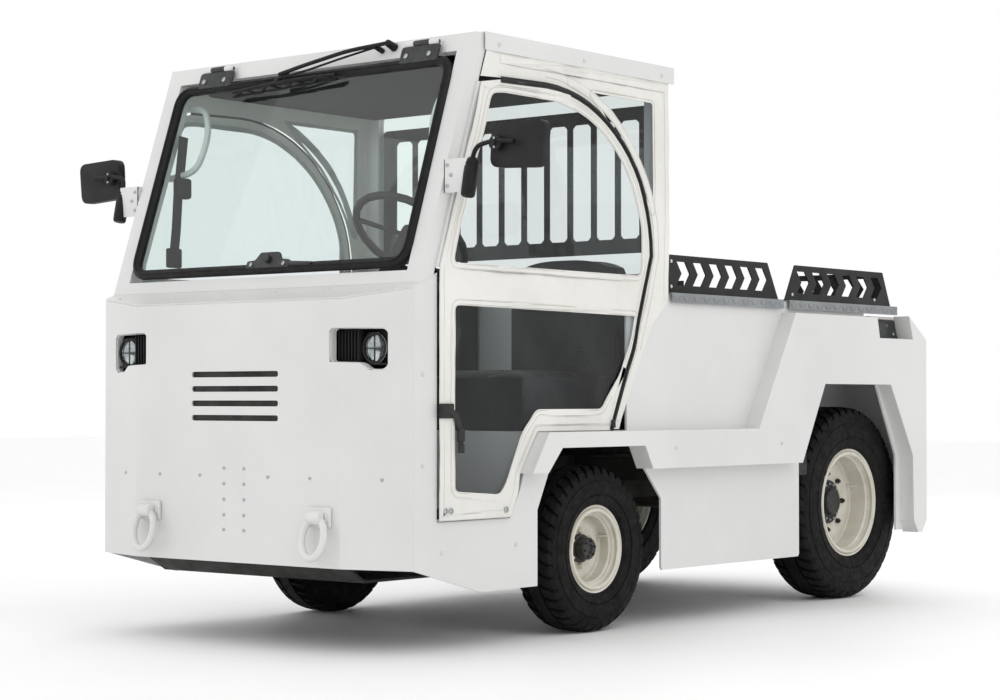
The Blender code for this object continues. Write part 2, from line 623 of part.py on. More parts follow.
def quarter_curtain(name, side):
    """Fixed fabric behind the zip, with its three-cornered window."""
    arc = [(y + CLEAR * 0.8, z + CLEAR * 0.6) for y, z in zip_arc(0.0)]
    top = ROOF_Z - ROOF_FLANGE + 0.045
    rear = CAB_REAR_Y + 0.010
    outline = [(pillar_edge(1.73) + 0.002, 1.730 + CLEAR * 0.6)] + arc
    outline += [(0.060, BEAM_TOP_Z + CLEAR), (0.250, 1.010), (rear, DECK_Z + 0.013), (rear, top),
                (pillar_edge(top), top)]
    window = [(-0.095, 1.745), (-0.020, 1.680), (0.080, 1.600), (0.170, 1.490), (0.250, 1.370),
              (0.252, 1.745)]
    low, high = side_x(side, CURTAIN_X, CURTAIN_X + 0.003)
    plate(f"quarter_curtain_{name}", [outline, rounded(window, 0.008, 2)], low, high, SIDE_VIEW, CANVAS)
    pane = [(-0.125, 1.757), (-0.032, 1.668), (0.068, 1.588), (0.158, 1.480), (0.240, 1.352), (0.264, 1.350),
            (0.264, 1.757)]
    low, high = side_x(side, CURTAIN_X - GAP - WINDOW_T, CURTAIN_X - GAP)
    plate(f"quarter_window_{name}", [pane], low, high, SIDE_VIEW, CLEAR_VINYL)


def cab_floor():
    """Footwell floor, riser and the deck that the seats stand on."""
    front = NOSE_CORNER_Y + 0.010
    rear = CAB_REAR_Y - WALL - GAP
    shape = [(front, FLOOR_Z), (SEAT_DECK_Y, FLOOR_Z), (SEAT_DECK_Y, SEAT_DECK_Z), (rear, SEAT_DECK_Z),
             (rear, SEAT_DECK_Z - FLOOR_T), (SEAT_DECK_Y + FLOOR_T, SEAT_DECK_Z - FLOOR_T),
             (SEAT_DECK_Y + FLOOR_T, FLOOR_Z - FLOOR_T), (front, FLOOR_Z - FLOOR_T)]
    half = CAB_HALF - PLATE - GAP
    plate("cab_floor", [shape], -half, half, SIDE_VIEW, FRAME_PAINT)


def seat(name, side):
    """A sprung cushion on a low box, and a back against the rear wall."""
    x = side * SEAT_X
    half = SEAT_W / 2
    top = SEAT_DECK_Z + 0.190
    cushion = [(-0.300, SEAT_DECK_Z + GAP), (0.180, SEAT_DECK_Z + GAP), (0.180, top - 0.020),
               (0.160, top), (-0.270, top + 0.012), (-0.310, top - 0.020)]
    plate(f"{name}_seat_cushion", [cushion], x - half, x + half, SIDE_VIEW, SEAT_VINYL)
    back = [(0.186, SEAT_DECK_Z + GAP), (0.284, SEAT_DECK_Z + GAP), (0.301, 1.190), (0.285, 1.235),
            (0.250, 1.235), (0.222, 1.195)]
    plate(f"{name}_seat_back", [back], x - half, x + half, SIDE_VIEW, SEAT_VINYL)


def dashboard():
    """Dash under the windscreen with the steering column."""
    shape = [(-0.925, 0.800), (-0.760, 0.840), (-0.720, 0.960), (-0.790, 1.075), (-0.925, 1.070)]
    half = CAB_HALF - PLATE - GAP
    dash = plate("dashboard", [shape], -half, half, SIDE_VIEW, CAB_PLASTIC)
    axis = Vector((0.0, math.sin(STEER_TILT), math.cos(STEER_TILT)))
    hub = Vector((STEER_X, STEER_Y, STEER_Z))
    column = cylinder("steering_column", hub - axis * 0.40, hub - axis * 0.0246, 0.032)
    join(dash, column)


def steering_wheel():
    """Rim, hub and three spokes; it turns about the column."""
    place = Matrix.Translation((STEER_X, STEER_Y, STEER_Z)) @ Matrix.Rotation(-STEER_TILT, 4, "X")
    pivot = axis_empty("steering_wheel_axis", place)
    hub = cylinder("steering_wheel", (0, 0, -0.024), (0, 0, 0.020), 0.036, CAB_PLASTIC, pivot)
    ring = [(STEER_R * math.cos(a), STEER_R * math.sin(a), 0.0)
            for a in (math.radians(i * 15) for i in range(24))]
    join(hub, tube("steering_rim", ring, 0.013, parent=pivot, closed=True))
    for index in range(3):
        angle = math.radians(90 + index * 120)
        out = Vector((math.cos(angle), math.sin(angle), 0.0))
        join(hub, cylinder(f"steering_spoke_{index}", out * 0.01, out * STEER_R, 0.008, parent=pivot))


def mirror(name, side):
    """Bracket on the pillar, rubber-covered holder, bent arm and mirror head."""
    def at(x, y, z):
        return (side * x, y, z)
    z = 1.370
    face = screen_y(z + 0.05)
    knee = CAB_HALF + 0.0905
    low, high = side_x(side, CAB_HALF + GAP, knee)
    body = block(f"mirror_{name}", (low, face - 0.002, z), (high, face + 0.004, z + 0.100), BLACK_PAINT)
    foot_low, foot_high = side_x(side, CAB_HALF + GAP, CAB_HALF + 0.006)
    foot = block(f"mirror_foot_{name}", (foot_low, face - 0.002, z), (foot_high, face + 0.030, z + 0.100))
    holder = cylinder(f"mirror_holder_{name}", at(knee, face, z - 0.010),
                      at(knee + 0.007, face + 0.020, z + 0.095), 0.022)
    arm = tube(f"mirror_arm_{name}", [at(knee + 0.005, face + 0.015, z + 0.080),
                                      at(knee + 0.013, face + 0.030, z + 0.135),
                                      at(knee + 0.155, face + 0.030, z + 0.135)], 0.007, bend=0.035)
    head_z = z + 0.130
    inner, outer = side_x(side, knee + 0.055, MIRROR_REACH)
    head = block(f"mirror_head_{name}", (inner, face + 0.034, head_z - 0.070),
                 (outer, face + 0.075, head_z + 0.070))
    join(body, foot, holder, arm, head)


# ------------------------------------------------------------- lamps and towing
def headlamps():
    """Two round lamps carried by a bar behind the nose."""
    half = CAB_HALF - PLATE - GAP
    bar = block("headlamps", (-half, -0.945, 0.880), (half, -0.935, 0.940), LAMP)
    for name, side in SIDES:
        x = side * LAMP_X
        lamp = cylinder(f"lamp_{name}", (x, -0.940, 0.908), (x, -0.972, 0.908), 0.045)
        join(bar, lamp)


def tow_ring(name, side):
    """Bracket on the nose with a hanging ring."""
    x = side * 0.372
    face = -FRONT_OVERHANG - GAP
    body = block(f"tow_ring_{name}", (x - 0.045, face - 0.012, 0.375), (x + 0.045, face, 0.435), WHITE_PAINT)
    ear_y = face - 0.024
    ear = cylinder(f"tow_ear_{name}", (x - 0.020, ear_y, 0.405), (x + 0.020, ear_y, 0.405), 0.022)
    ring = []
    for step in range(24):
        angle = math.radians(step * 15)
        ring.append((x + 0.044 * math.cos(angle), ear_y - 0.012 * (1 - math.sin(angle)),
                     0.345 + 0.060 * math.sin(angle)))
    bow = tube(f"tow_bow_{name}", ring, TOW_RING_REACH - 0.048 - GAP, closed=True)
    join(body, ear, bow)


def rear_hitch():
    """Jaw with upper and lower plates on the rear wall."""
    face = REAR_OVERHANG + GAP
    end = REAR_OVERHANG + HITCH_REACH
    hitch = block("rear_hitch", (-0.110, face, 0.330), (0.110, face + 0.016, 0.530), FRAME_PAINT)
    for name, z in (("low", 0.372), ("high", 0.452)):
        jaw = rounded([(-0.055, face + 0.008), (0.055, face + 0.008), (0.055, end), (-0.055, end)], 0.040)
        join(hitch, plate(f"hitch_jaw_{name}", [jaw], z, z + 0.022, TOP_VIEW))
    pin_y = end - 0.045
    join(hitch, cylinder("hitch_pin", (0.0, pin_y, 0.355), (0.0, pin_y, 0.500), 0.014))


# --------------------------------------------------------------- deck and rails
def lid_hinge():
    """Place of the hinge line that both lids share."""
    return Matrix.Translation((0.0, LID_HINGE_Y, LID_HINGE_Z))


def lid(name, front, rear):
    """Folded checker plate lid on the rear body."""
    place = lid_hinge()
    pivot = axis_empty(f"{name}_hinge", place)
    under = DECK_Z + LID_SEAT
    section = [(-LID_HALF, under), (-LID_HALF, under + LID_T), (LID_HALF, under + LID_T), (LID_HALF, under),
               (LID_HALF - 0.004, under), (LID_HALF - 0.004, under + LID_T - LID_SHEET),
               (0.004 - LID_HALF, under + LID_T - LID_SHEET), (0.004 - LID_HALF, under)]
    back = place.inverted()
    sheet = plate(name, [section], front, rear, FRONT_VIEW, CHECKER_PLATE, pivot, back)
    # two hinge leaves reach from the lid's end to the barrel
    toward = 1 if front < LID_HINGE_Y else -1
    end = rear if toward > 0 else front
    tip = LID_HINGE_Y - toward * (HINGE_R + 0.0006)
    z = LID_HINGE_Z
    for index, x in enumerate((-LID_LEAF_X, LID_LEAF_X)):
        low = (x - 0.060, min(end - toward * 0.030, tip), z - 0.002)
        high = (x + 0.060, max(end - toward * 0.030, tip), z + 0.002)
        leaf = block(f"{name}_leaf_{index}", low, high, parent=pivot)
        leaf.matrix_local = back
        rise_y = (end - toward * 0.030, end - toward * 0.026)
        rise = block(f"{name}_leaf_rise_{index}", (x - 0.060, min(rise_y), z - 0.002),
                     (x + 0.060, max(rise_y), under + LID_T - 0.001), parent=pivot)
        rise.matrix_local = back
        join(sheet, leaf, rise)
    return pivot


def chevrons(first, last, low, count):
    """Arrow-shaped slots between two ends of a rail."""
    pitch = (last - first) / count
    wide = pitch * 0.52
    tip = pitch * 0.30
    shapes = []
    for index in range(count):
        start = first + index * pitch + pitch * 0.12
        shapes.append([(start, low), (start + wide, low), (start + wide + tip, low + 0.040),
                       (start + wide, low + 0.080), (start, low + 0.080), (start + tip, low + 0.040)])
    return shapes


def cargo_rail(lid_name, name, side, pivot):
    """Upright slotted plate along a lid's side; the rear ones return across the back."""
    low = DECK_Z + LID_SEAT + LID_T + GAP
    high = low + CARGO_RAIL_H
    near, far = side_x(side, CARGO_RAIL_X - CARGO_RAIL_T, CARGO_RAIL_X)
    if lid_name == "front":
        start, end = LID_FRONT_Y + 0.011, LID_HINGE_Y - 0.018
        outline = [(start, low), (end, low), (end - 0.072, high), (start, high)]
        slots = chevrons(start + 0.037, end - 0.067, low + 0.028, 6)
    else:
        start, end = LID_HINGE_Y + 0.026, LID_REAR_Y - 0.070
        outline = [(start, low), (LID_REAR_Y - 0.010, low), (end, high), (start + 0.069, high)]
        slots = chevrons(start + 0.069, end, low + 0.028, 6)
    back = lid_hinge().inverted()
    rail = plate(f"{lid_name}_rail_{name}", [outline], near, far, SIDE_VIEW, BLACK_PAINT, pivot, back)
    slot_name = f"{lid_name}_rail_slots_{name}"
    cut(rail, plate(slot_name, slots, near - 0.01, far + 0.01, SIDE_VIEW, None, pivot, back))
    foot_low, foot_high = side_x(side, CARGO_RAIL_X - 0.030, CARGO_RAIL_X)
    first, last = outline[0][0] + 0.02, outline[1][0] - 0.02
    foot = block(f"{lid_name}_rail_foot_{name}", (foot_low, first, low), (foot_high, last, low + 0.004))
    join(rail, foot)
    if lid_name == "rear":
        y = LID_REAR_Y - 0.070
        start, stop = side_x(side, CARGO_RAIL_X - CARGO_RETURN, CARGO_RAIL_X)
        shape = rectangle(start, low, stop, high)
        first = start + 0.010
        holes = chevrons(first, first + CARGO_RETURN - 0.04, low + 0.028, 4)
        leg = f"rear_return_{name}"
        join(rail, plate(leg, [shape], y - CARGO_RAIL_T, y, FRONT_VIEW, None, pivot, back))
        cut(rail, plate(f"{leg}_slots", holes, y - 0.02, y + 0.02, FRONT_VIEW, None, pivot, back))


# -------------------------------------------------------------- running gear
def chassis_frame():
    """Two rails stepped up over the axles, with three cross members."""
    foot, head = SEAT_DECK_Y + 0.030, SEAT_DECK_Y + 0.085
    front, end = -0.930, REAR_OVERHANG - REAR_WALL_T - GAP
    rail = [(front, RAIL_LOW_Z), (foot + 0.060, RAIL_LOW_Z), (head + 0.060, RAIL_HIGH_Z),
            (end, RAIL_HIGH_Z), (end, RAIL_HIGH_Z + RAIL_H), (head, RAIL_HIGH_Z + RAIL_H),
            (foot, RAIL_LOW_Z + RAIL_H), (front, RAIL_LOW_Z + RAIL_H)]
    frame = plate("chassis_frame", [rail], RAIL_X - RAIL_W / 2, RAIL_X + RAIL_W / 2, SIDE_VIEW, FRAME_PAINT)
    join(frame, plate("right_rail", [rail], -RAIL_X - RAIL_W / 2, RAIL_W / 2 - RAIL_X, SIDE_VIEW))
    half = CAB_HALF - PLATE - GAP
    join(frame, block("front_cross", (-half, front + 0.005, RAIL_LOW_Z),
                      (half, front + 0.065, RAIL_LOW_Z + RAIL_H)))
    for name, y in (("middle_cross", ENGINE_LOW[0] - 0.085), ("rear_cross", WHEELBASE - 0.445)):
        join(frame, block(name, (-half, y, RAIL_HIGH_Z), (half, y + 0.060, RAIL_HIGH_Z + RAIL_H)))


def skid_plate():
    """Turned-up plate under the nose, hung from the rails on two webs."""
    low = 0.205
    skid = [(-1.004, 0.270), (-0.900, low), (-0.440, low), (-0.440, low + 0.008), (-0.898, low + 0.008),
            (-1.000, 0.278)]
    tray = plate("skid_plate", [skid], -0.440, 0.440, SIDE_VIEW, FRAME_PAINT)
    for name, side in SIDES:
        near, far = side_x(side, RAIL_X - 0.005, RAIL_X + 0.005)
        join(tray, block(f"skid_web_{name}", (near, -0.890, low + 0.003), (far, -0.450, RAIL_LOW_Z - GAP)))


def deck_hoop():
    """Hoop across the body that carries the lids' common hinge barrel."""
    half = CAB_HALF - PLATE - GAP
    front, rear = LID_HINGE_Y - 0.030, LID_HINGE_Y + 0.030
    top = DECK_Z + 0.012
    hoop = block("deck_hoop", (-half, front, top - 0.050), (half, rear, top), FRAME_PAINT)
    reach = half - 0.106
    join(hoop, cylinder("hinge_barrel", (-reach, LID_HINGE_Y, LID_HINGE_Z), (reach, LID_HINGE_Y, LID_HINGE_Z),
                        HINGE_R, sides=12))
    join(hoop, block("hinge_web", (0.010 - reach, LID_HINGE_Y - 0.003, top - 0.010),
                     (reach - 0.010, LID_HINGE_Y + 0.003, LID_HINGE_Z)))
    for name, side in SIDES:
        low, high = side_x(side, RAIL_X - 0.03, RAIL_X + 0.03)
        foot = RAIL_HIGH_Z + RAIL_H + GAP
        join(hoop, block(f"hoop_leg_{name}", (low, front, foot), (high, rear, top - 0.010)))


def engine_block():
    """The engine as one plain block between the rails."""
    half = RAIL_X - RAIL_W / 2 - GAP
    block("engine_block", (-half, *ENGINE_LOW), (half, *ENGINE_HIGH), IRON)


def spring(name, x, y, low, high, length):
    """A leaf pack between an axle and a rail."""
    middle = [(y - length / 2, high - 0.020), (y - 0.120, low + 0.020), (y - 0.050, low), (y + 0.050, low),
              (y + 0.120, low + 0.020), (y + length / 2, high - 0.020), (y + length / 2, high),
              (y + length / 2 - 0.040, high), (y + 0.100, low + 0.050), (y - 0.100, low + 0.050),
              (y + 0.040 - length / 2, high), (y - length / 2, high)]
    return plate(name, [middle], x - 0.028, x + 0.028, SIDE_VIEW)


def front_axle():
    """Beam axle with a fork at each end and its two leaf packs."""
    z = FRONT_TYRE_R
    beam = block("front_axle", (-KINGPIN_X + 0.045, -0.025, z - 0.035),
                 (KINGPIN_X - 0.045, 0.025, z + 0.035), IRON)
    for name, side in SIDES:
        web_low, web_high = side_x(side, KINGPIN_X - 0.060, KINGPIN_X - 0.042)
        join(beam, block(f"fork_web_{name}", (web_low, -0.025, z - 0.075), (web_high, 0.025, z + 0.075)))
        for level, start in (("low", z - 0.075), ("high", z + 0.057)):
            ear_low, ear_high = side_x(side, KINGPIN_X - 0.060, KINGPIN_X)
            ear = block(f"fork_ear_{level}_{name}", (ear_low, -0.025, start),
                        (ear_high, 0.025, start + 0.018))
            end = cylinder(f"fork_end_{level}_{name}", (side * KINGPIN_X, 0, start),
                           (side * KINGPIN_X, 0, start + 0.018), 0.026)
            join(beam, ear, end)
        join(beam, spring(f"front_spring_{name}", side * RAIL_X, 0.0, z + 0.030, RAIL_HIGH_Z - GAP, 0.500))


def knuckle(name, side):
    """Kingpin boss, spindle and steering arm; it turns about the kingpin."""
    z = FRONT_TYRE_R
    pivot = axis_empty(f"kingpin_{name}", Matrix.Translation((side * KINGPIN_X, 0.0, z)))
    body = cylinder(f"knuckle_{name}", (0, 0, -0.056), (0, 0, 0.056), 0.026, IRON, pivot)
    join(body, cylinder(f"spindle_{name}", (side * 0.01, 0, 0), (side * 0.110, 0, 0), SPINDLE_R,
                       parent=pivot))
    arm = block(f"steering_arm_{name}", (-0.011, 0.010, -0.045), (0.011, STEER_ARM, -0.025), parent=pivot)
    join(body, arm)
    return pivot


def rear_axle():
    """Axle tube with the differential and its two leaf packs."""
    z, y = REAR_TYRE_R, WHEELBASE
    end = REAR_TYRE_X - 0.070
    axle = cylinder("rear_axle", (-end, y, z), (end, y, z), 0.045, IRON)
    join(axle, cylinder("differential", (-0.110, y, z), (0.110, y, z), 0.135))
    for name, side in SIDES:
        join(axle, cylinder(f"axle_stub_{name}", (side * (end - 0.01), y, z), (side * (end + 0.055), y, z),
                            STUB_R))
        join(axle, spring(f"rear_spring_{name}", side * RAIL_X, y, z + 0.028, RAIL_HIGH_Z - GAP, 0.640))


def tyre_profile(radius, width, bead, flange):
    """Section of a tyre, down its outer side and back up its bore."""
    half = width / 2
    seat = half * BEAD_SHARE
    upper = [(bead + GAP, seat), (flange + 0.003, seat), (flange + 0.014, half * 0.90),
             (radius * 0.80, half), (radius * 0.93, half * 0.98), (radius * 0.985, half * 0.86),
             (radius, half * 0.62), (radius, 0.0)]
    return upper + [(r, -h) for r, h in reversed(upper[:-1])]


def rim_profile(bead, flange, width, dish, hub, cap, bore):
    """Section of a rim with its disc and hub: flanges, well, disc and a blind bore from inside."""
    seat = width / 2 * BEAD_SHARE + GAP
    lip = seat + 0.013
    base = bead - 0.010
    return [(0.0, cap), (hub, cap), (hub, dish), (base - 0.020, dish), (base, dish + 0.015), (base, seat),
            (flange - 0.010, lip), (flange, lip - 0.004), (flange, seat), (bead, seat),
            (bead, -seat), (flange, -seat), (flange, 0.004 - lip), (flange - 0.010, -lip),
            (base, -seat), (base, dish - 0.012), (hub + 0.010, dish - 0.014), (hub + 0.010, dish - 0.050),
            (bore, dish - 0.050), (bore, dish + 0.006), (0.0, dish + 0.006)]


def wheel(name, side, centre, sizes, parent):
    """A tyre and its rim on one spin axis."""
    turn = Matrix.Rotation(side * math.pi / 2, 4, "Y")
    pivot = axis_empty(f"{name}_spin", Matrix.Translation(centre) @ turn, parent)
    radius, width, bead, flange, dish, hub, cap, bore = sizes
    here = Matrix.Identity(4)
    turned(f"{name}_tyre", tyre_profile(radius, width, bead, flange), TYRE_RUBBER, here, pivot, ring=True)
    turned(f"{name}_rim", rim_profile(bead, flange, width, dish, hub, cap, bore), RIM_PAINT, here, pivot)


# -------------------------------------------------------------------- assembly
nose_panel()
cowl()
rear_wall()
roof()
cab_frame()
windscreen()
rear_window()
rear_guard()
cab_floor()
dashboard()
steering_wheel()
headlamps()
rear_hitch()
chassis_frame()
skid_plate()
deck_hoop()
engine_block()
front_axle()
rear_axle()
LIDS = {"front": lid("front_deck_lid", LID_FRONT_Y, LID_HINGE_Y - LID_GAP / 2),
        "rear": lid("rear_deck_lid", LID_HINGE_Y + LID_GAP / 2, LID_REAR_Y)}
FRONT_WHEEL = (FRONT_TYRE_R, FRONT_TYRE_W, FRONT_BEAD_R, FRONT_RIM_R, -0.004, 0.034, 0.040,
               SPINDLE_R + 0.0006)
REAR_WHEEL = (REAR_TYRE_R, REAR_TYRE_W, REAR_BEAD_R, REAR_RIM_R, -0.020, 0.048, 0.012, STUB_R + 0.0006)
for side_name, sign in SIDES:
    body_side(side_name, sign)
    tail_lamp(side_name, sign)
    fabric_door(side_name, sign)
    quarter_curtain(side_name, sign)
    mirror(side_name, sign)
    tow_ring(side_name, sign)
    for lid_name, lid_pivot in LIDS.items():
        cargo_rail(lid_name, side_name, sign, lid_pivot)
    seat("driver" if sign > 0 else "passenger", sign)
    kingpin = knuckle(side_name, sign)
    wheel(f"front_{side_name}", sign, (sign * (FRONT_TYRE_X - KINGPIN_X), 0.0, 0.0), FRONT_WHEEL, kingpin)
    wheel(f"rear_{side_name}", sign, (sign * REAR_TYRE_X, WHEELBASE, REAR_TYRE_R), REAR_WHEEL, ORIGIN)
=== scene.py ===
"""Airport baggage tug: paint, cloth, glass, seals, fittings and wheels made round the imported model."""
import math

import bmesh
import bpy
from mathutils import Matrix, Vector, noise


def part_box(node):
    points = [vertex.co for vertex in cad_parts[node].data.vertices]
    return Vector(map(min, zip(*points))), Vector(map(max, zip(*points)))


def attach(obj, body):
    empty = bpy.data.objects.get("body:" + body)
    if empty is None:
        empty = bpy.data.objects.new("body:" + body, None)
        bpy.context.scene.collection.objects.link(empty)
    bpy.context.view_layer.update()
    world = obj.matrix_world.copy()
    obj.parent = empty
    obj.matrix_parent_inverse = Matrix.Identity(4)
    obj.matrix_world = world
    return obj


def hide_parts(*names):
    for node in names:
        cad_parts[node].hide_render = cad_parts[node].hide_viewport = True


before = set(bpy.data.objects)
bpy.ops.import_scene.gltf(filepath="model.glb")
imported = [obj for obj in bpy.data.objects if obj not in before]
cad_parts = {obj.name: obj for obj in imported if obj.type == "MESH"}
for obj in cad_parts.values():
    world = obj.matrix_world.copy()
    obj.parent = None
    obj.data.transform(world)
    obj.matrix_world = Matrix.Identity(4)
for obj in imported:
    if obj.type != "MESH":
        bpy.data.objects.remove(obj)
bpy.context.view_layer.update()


# ---- Studio ----
# A pale matt floor under large soft lights and a white surround.  The camera stands off the tug's
# front left corner, at about the height of the headlamps.
def colour(code):
    """sRGB hex to the linear colour that the shaders take."""
    parts = [int(code[i:i + 2], 16) / 255 for i in (1, 3, 5)]
    return (*[c / 12.92 if c <= 0.04045 else ((c + 0.055) / 1.055) ** 2.4 for c in parts], 1.0)


def node(tree, kind, settings=None, links=None):
    """Adds a node: settings are properties or input values, links are input name to output socket."""
    made = tree.nodes.new("ShaderNode" + kind)
    for key, value in (settings or {}).items():
        if isinstance(key, str) and hasattr(made, key):
            setattr(made, key, value)
        else:
            made.inputs[key].default_value = value
    for key, socket in (links or {}).items():
        tree.links.new(socket, made.inputs[key])
    return made


def finish_named(name, base, roughness, metallic=0.0):
    """A Principled material with its tree and its shader."""
    made = bpy.data.materials.new(name)
    made.use_nodes = True
    made.diffuse_color = colour(base)
    shader = made.node_tree.nodes["Principled BSDF"]
    shader.inputs["Base Color"].default_value = colour(base)
    shader.inputs["Roughness"].default_value = roughness
    shader.inputs["Metallic"].default_value = metallic
    return made, made.node_tree, shader


def grain(tree, size, detail=3.0, stretch=(1.0, 1.0, 1.0)):
    """A noise whose grains are about size metres across, in Object coordinates."""
    place = node(tree, "TexCoord")
    scaled = node(tree, "Mapping", {"Scale": stretch}, {"Vector": place.outputs["Object"]})
    return node(tree, "TexNoise", {"Scale": 1.0 / size, "Detail": detail, "Roughness": 0.55},
                {"Vector": scaled.outputs["Vector"]}).outputs["Fac"]


def between(tree, factor, low, high, socket, start=0.35, end=0.65):
    """Runs a socket between two colours or two greys as a pattern goes from start to end."""
    ramp = node(tree, "ValToRGB", links={"Fac": factor})
    for element, place, value in zip(ramp.color_ramp.elements, (start, end), (low, high)):
        element.position = place
        element.color = colour(value) if isinstance(value, str) else (value, value, value, 1.0)
    tree.links.new(ramp.outputs["Color"], socket)


def raised(tree, shader, height, depth, strength=1.0):
    """Bumps the surface by a pattern, depth metres from its lowest to its highest."""
    bump = node(tree, "Bump", {"Strength": strength, "Distance": depth}, {"Height": height})
    tree.links.new(bump.outputs["Normal"], shader.inputs["Normal"])


floor_paint, tree, shader = finish_named("pale_studio_floor", "#FAFAFA", 0.60)
between(tree, grain(tree, 0.9), "#F9F9F9", "#FBFBFB", shader.inputs["Base Color"])

bpy.ops.object.select_all(action="DESELECT")
bpy.ops.mesh.primitive_plane_add(size=60)
floor = bpy.context.object
floor.name = "studio_floor"
floor.data.materials.append(floor_paint)

camera_data = bpy.data.cameras.new("camera")
camera_data.lens = 81.54
camera_data.sensor_width = 36.0
camera = bpy.data.objects.new("camera", camera_data)
camera.location = (5.0623, -6.4376, 0.7568)
# it looks up by a little over a degree, and across the tug from its left
camera.rotation_euler = (math.radians(91.2456), 0.0, math.radians(39.297))
bpy.context.collection.objects.link(camera)
bpy.context.scene.camera = camera

world = bpy.data.worlds.new("studio")
world.use_nodes = True
world.node_tree.nodes["Background"].inputs["Color"].default_value = colour("#FFFFFF")
world.node_tree.nodes["Background"].inputs["Strength"].default_value = 1.0
bpy.context.scene.world = world
bpy.context.scene.view_settings.view_transform = "Standard"

# name, where it stands, how wide it is, and its power in watts; each looks at the tug's middle
for name, place, size, power in (("key", (6.0, -1.5, 5.5), 4.0, 60), ("fill", (-4.0, -7.0, 4.5), 5.0, 45),
                                 ("back", (-2.5, 6.5, 6.0), 5.0, 70)):
    lamp_data = bpy.data.lights.new(name, "AREA")
    lamp_data.size = size
    lamp_data.energy = power
    lamp = bpy.data.objects.new(name, lamp_data)
    lamp.location = place
    lamp.rotation_euler = (Vector((0, 0, 0.8)) - lamp.location).to_track_quat("-Z", "Y").to_euler()
    bpy.context.collection.objects.link(lamp)


# ---- Steel body sheets ----
# 5 to 8 mm steel plate, folded and welded, under a white polyester powder coat.  The coat is satin with
# a fine orange peel, and hands and carts dull it in broad patches.
def coat(names, finish):
    """Gives CAD nodes a finish."""
    for name in names:
        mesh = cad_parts[name].data
        mesh.materials.clear()
        mesh.materials.append(finish)


powder_white, tree, shader = finish_named("white_powder_coat", "#D7D7D6", 0.38)
shader.inputs["Coat Weight"].default_value = 0.10
shader.inputs["Coat Roughness"].default_value = 0.22
between(tree, grain(tree, 0.45, 4.0), "#D4D4D3", "#DADAD9", shader.inputs["Base Color"])
between(tree, grain(tree, 0.16, 5.0), 0.32, 0.45, shader.inputs["Roughness"])
# orange peel: 3 mm waves about 0.03 mm high
raised(tree, shader, grain(tree, 0.003, 1.0), 0.00003)
coat(["nose_panel", "cowl", "body_side_left", "body_side_right", "rear_wall", "roof", "cab_frame",
      "tow_ring_left", "tow_ring_right", "cab_floor"], powder_white)


# ---- Chassis, axles and hitch ----
# Hot-rolled rails under flat black chassis paint that holds road dust, with cast axle housings and
# a plough-steel hitch.
# this black is also the painted shade on the sheet behind the nose slots
chassis_black_and_slot_shade, tree, shader = finish_named("black_chassis_paint_and_slot_shade", "#1A1A19", 0.66)
between(tree, grain(tree, 0.12, 5.0), "#151514", "#2A2926", shader.inputs["Base Color"])
between(tree, grain(tree, 0.05, 4.0), 0.55, 0.78, shader.inputs["Roughness"])
# mill scale under the paint: grains of 6 mm, 0.2 mm high
raised(tree, shader, grain(tree, 0.006), 0.0002)
coat(["chassis_frame", "skid_plate", "deck_hoop", "rear_hitch"], chassis_black_and_slot_shade)

cast_iron, tree, shader = finish_named("painted_cast_iron", "#24231F", 0.62, 0.3)
between(tree, grain(tree, 0.05, 4.0), "#1C1C1A", "#38352E", shader.inputs["Base Color"])
# sand-mould texture: 3.5 mm grains, 0.4 mm high
raised(tree, shader, grain(tree, 0.0035), 0.0004)
coat(["front_axle", "rear_axle", "knuckle_left", "knuckle_right", "engine_block"], cast_iron)


# ---- Screws in the body sheets ----
# Zinc-plated button-head screws, 10 to 13 mm across, with a sunk socket.  They bolt the tow
# brackets, the nose's inner brace, the side beams and the roof strip.  One is modelled and copied.
tyre_low, tyre_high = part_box("front_left_tyre")
# lengths along the tug are from the front axle, +Y to the rear, until a piece is set in
AXLE_Y = (tyre_low.y + tyre_high.y) / 2
SIDES = (("left", 1), ("right", -1))

zinc, tree, shader = finish_named("zinc_plated_steel", "#B4B8BC", 0.32, 1.0)
between(tree, grain(tree, 0.004, 2.0), 0.24, 0.42, shader.inputs["Roughness"])

white_screw, tree, shader = finish_named("white_painted_screw", "#D4D4D1", 0.42)
between(tree, grain(tree, 0.004, 2.0), "#C9C9C6", "#DADAD8", shader.inputs["Base Color"])


def only(piece):
    """Selects one piece and nothing else."""
    bpy.ops.object.select_all(action="DESELECT")
    piece.select_set(True)
    bpy.context.view_layer.objects.active = piece


def joined(pieces):
    """Joins pieces into the first."""
    only(pieces[0])
    for piece in pieces:
        piece.select_set(True)
    bpy.ops.object.join()
    return pieces[0]


def set_in(piece, name, finish, body="chassis", smooth=32.0, takes=()):
    """Fixes a finished piece in the tug: its name, finish, body and the CAD nodes it takes over."""
    only(piece)
    piece.name = piece.data.name = name
    bpy.ops.object.transform_apply(location=True, rotation=True, scale=True)
    piece.data.transform(Matrix.Translation((0, AXLE_Y, 0)))
    piece.data.materials.clear()
    piece.data.materials.append(finish)
    for face in piece.data.polygons:
        face.material_index = 0
    if smooth:
        bpy.ops.object.shade_smooth_by_angle(angle=math.radians(smooth))
    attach(piece, body)
    if takes:
        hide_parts(*takes)
    return piece


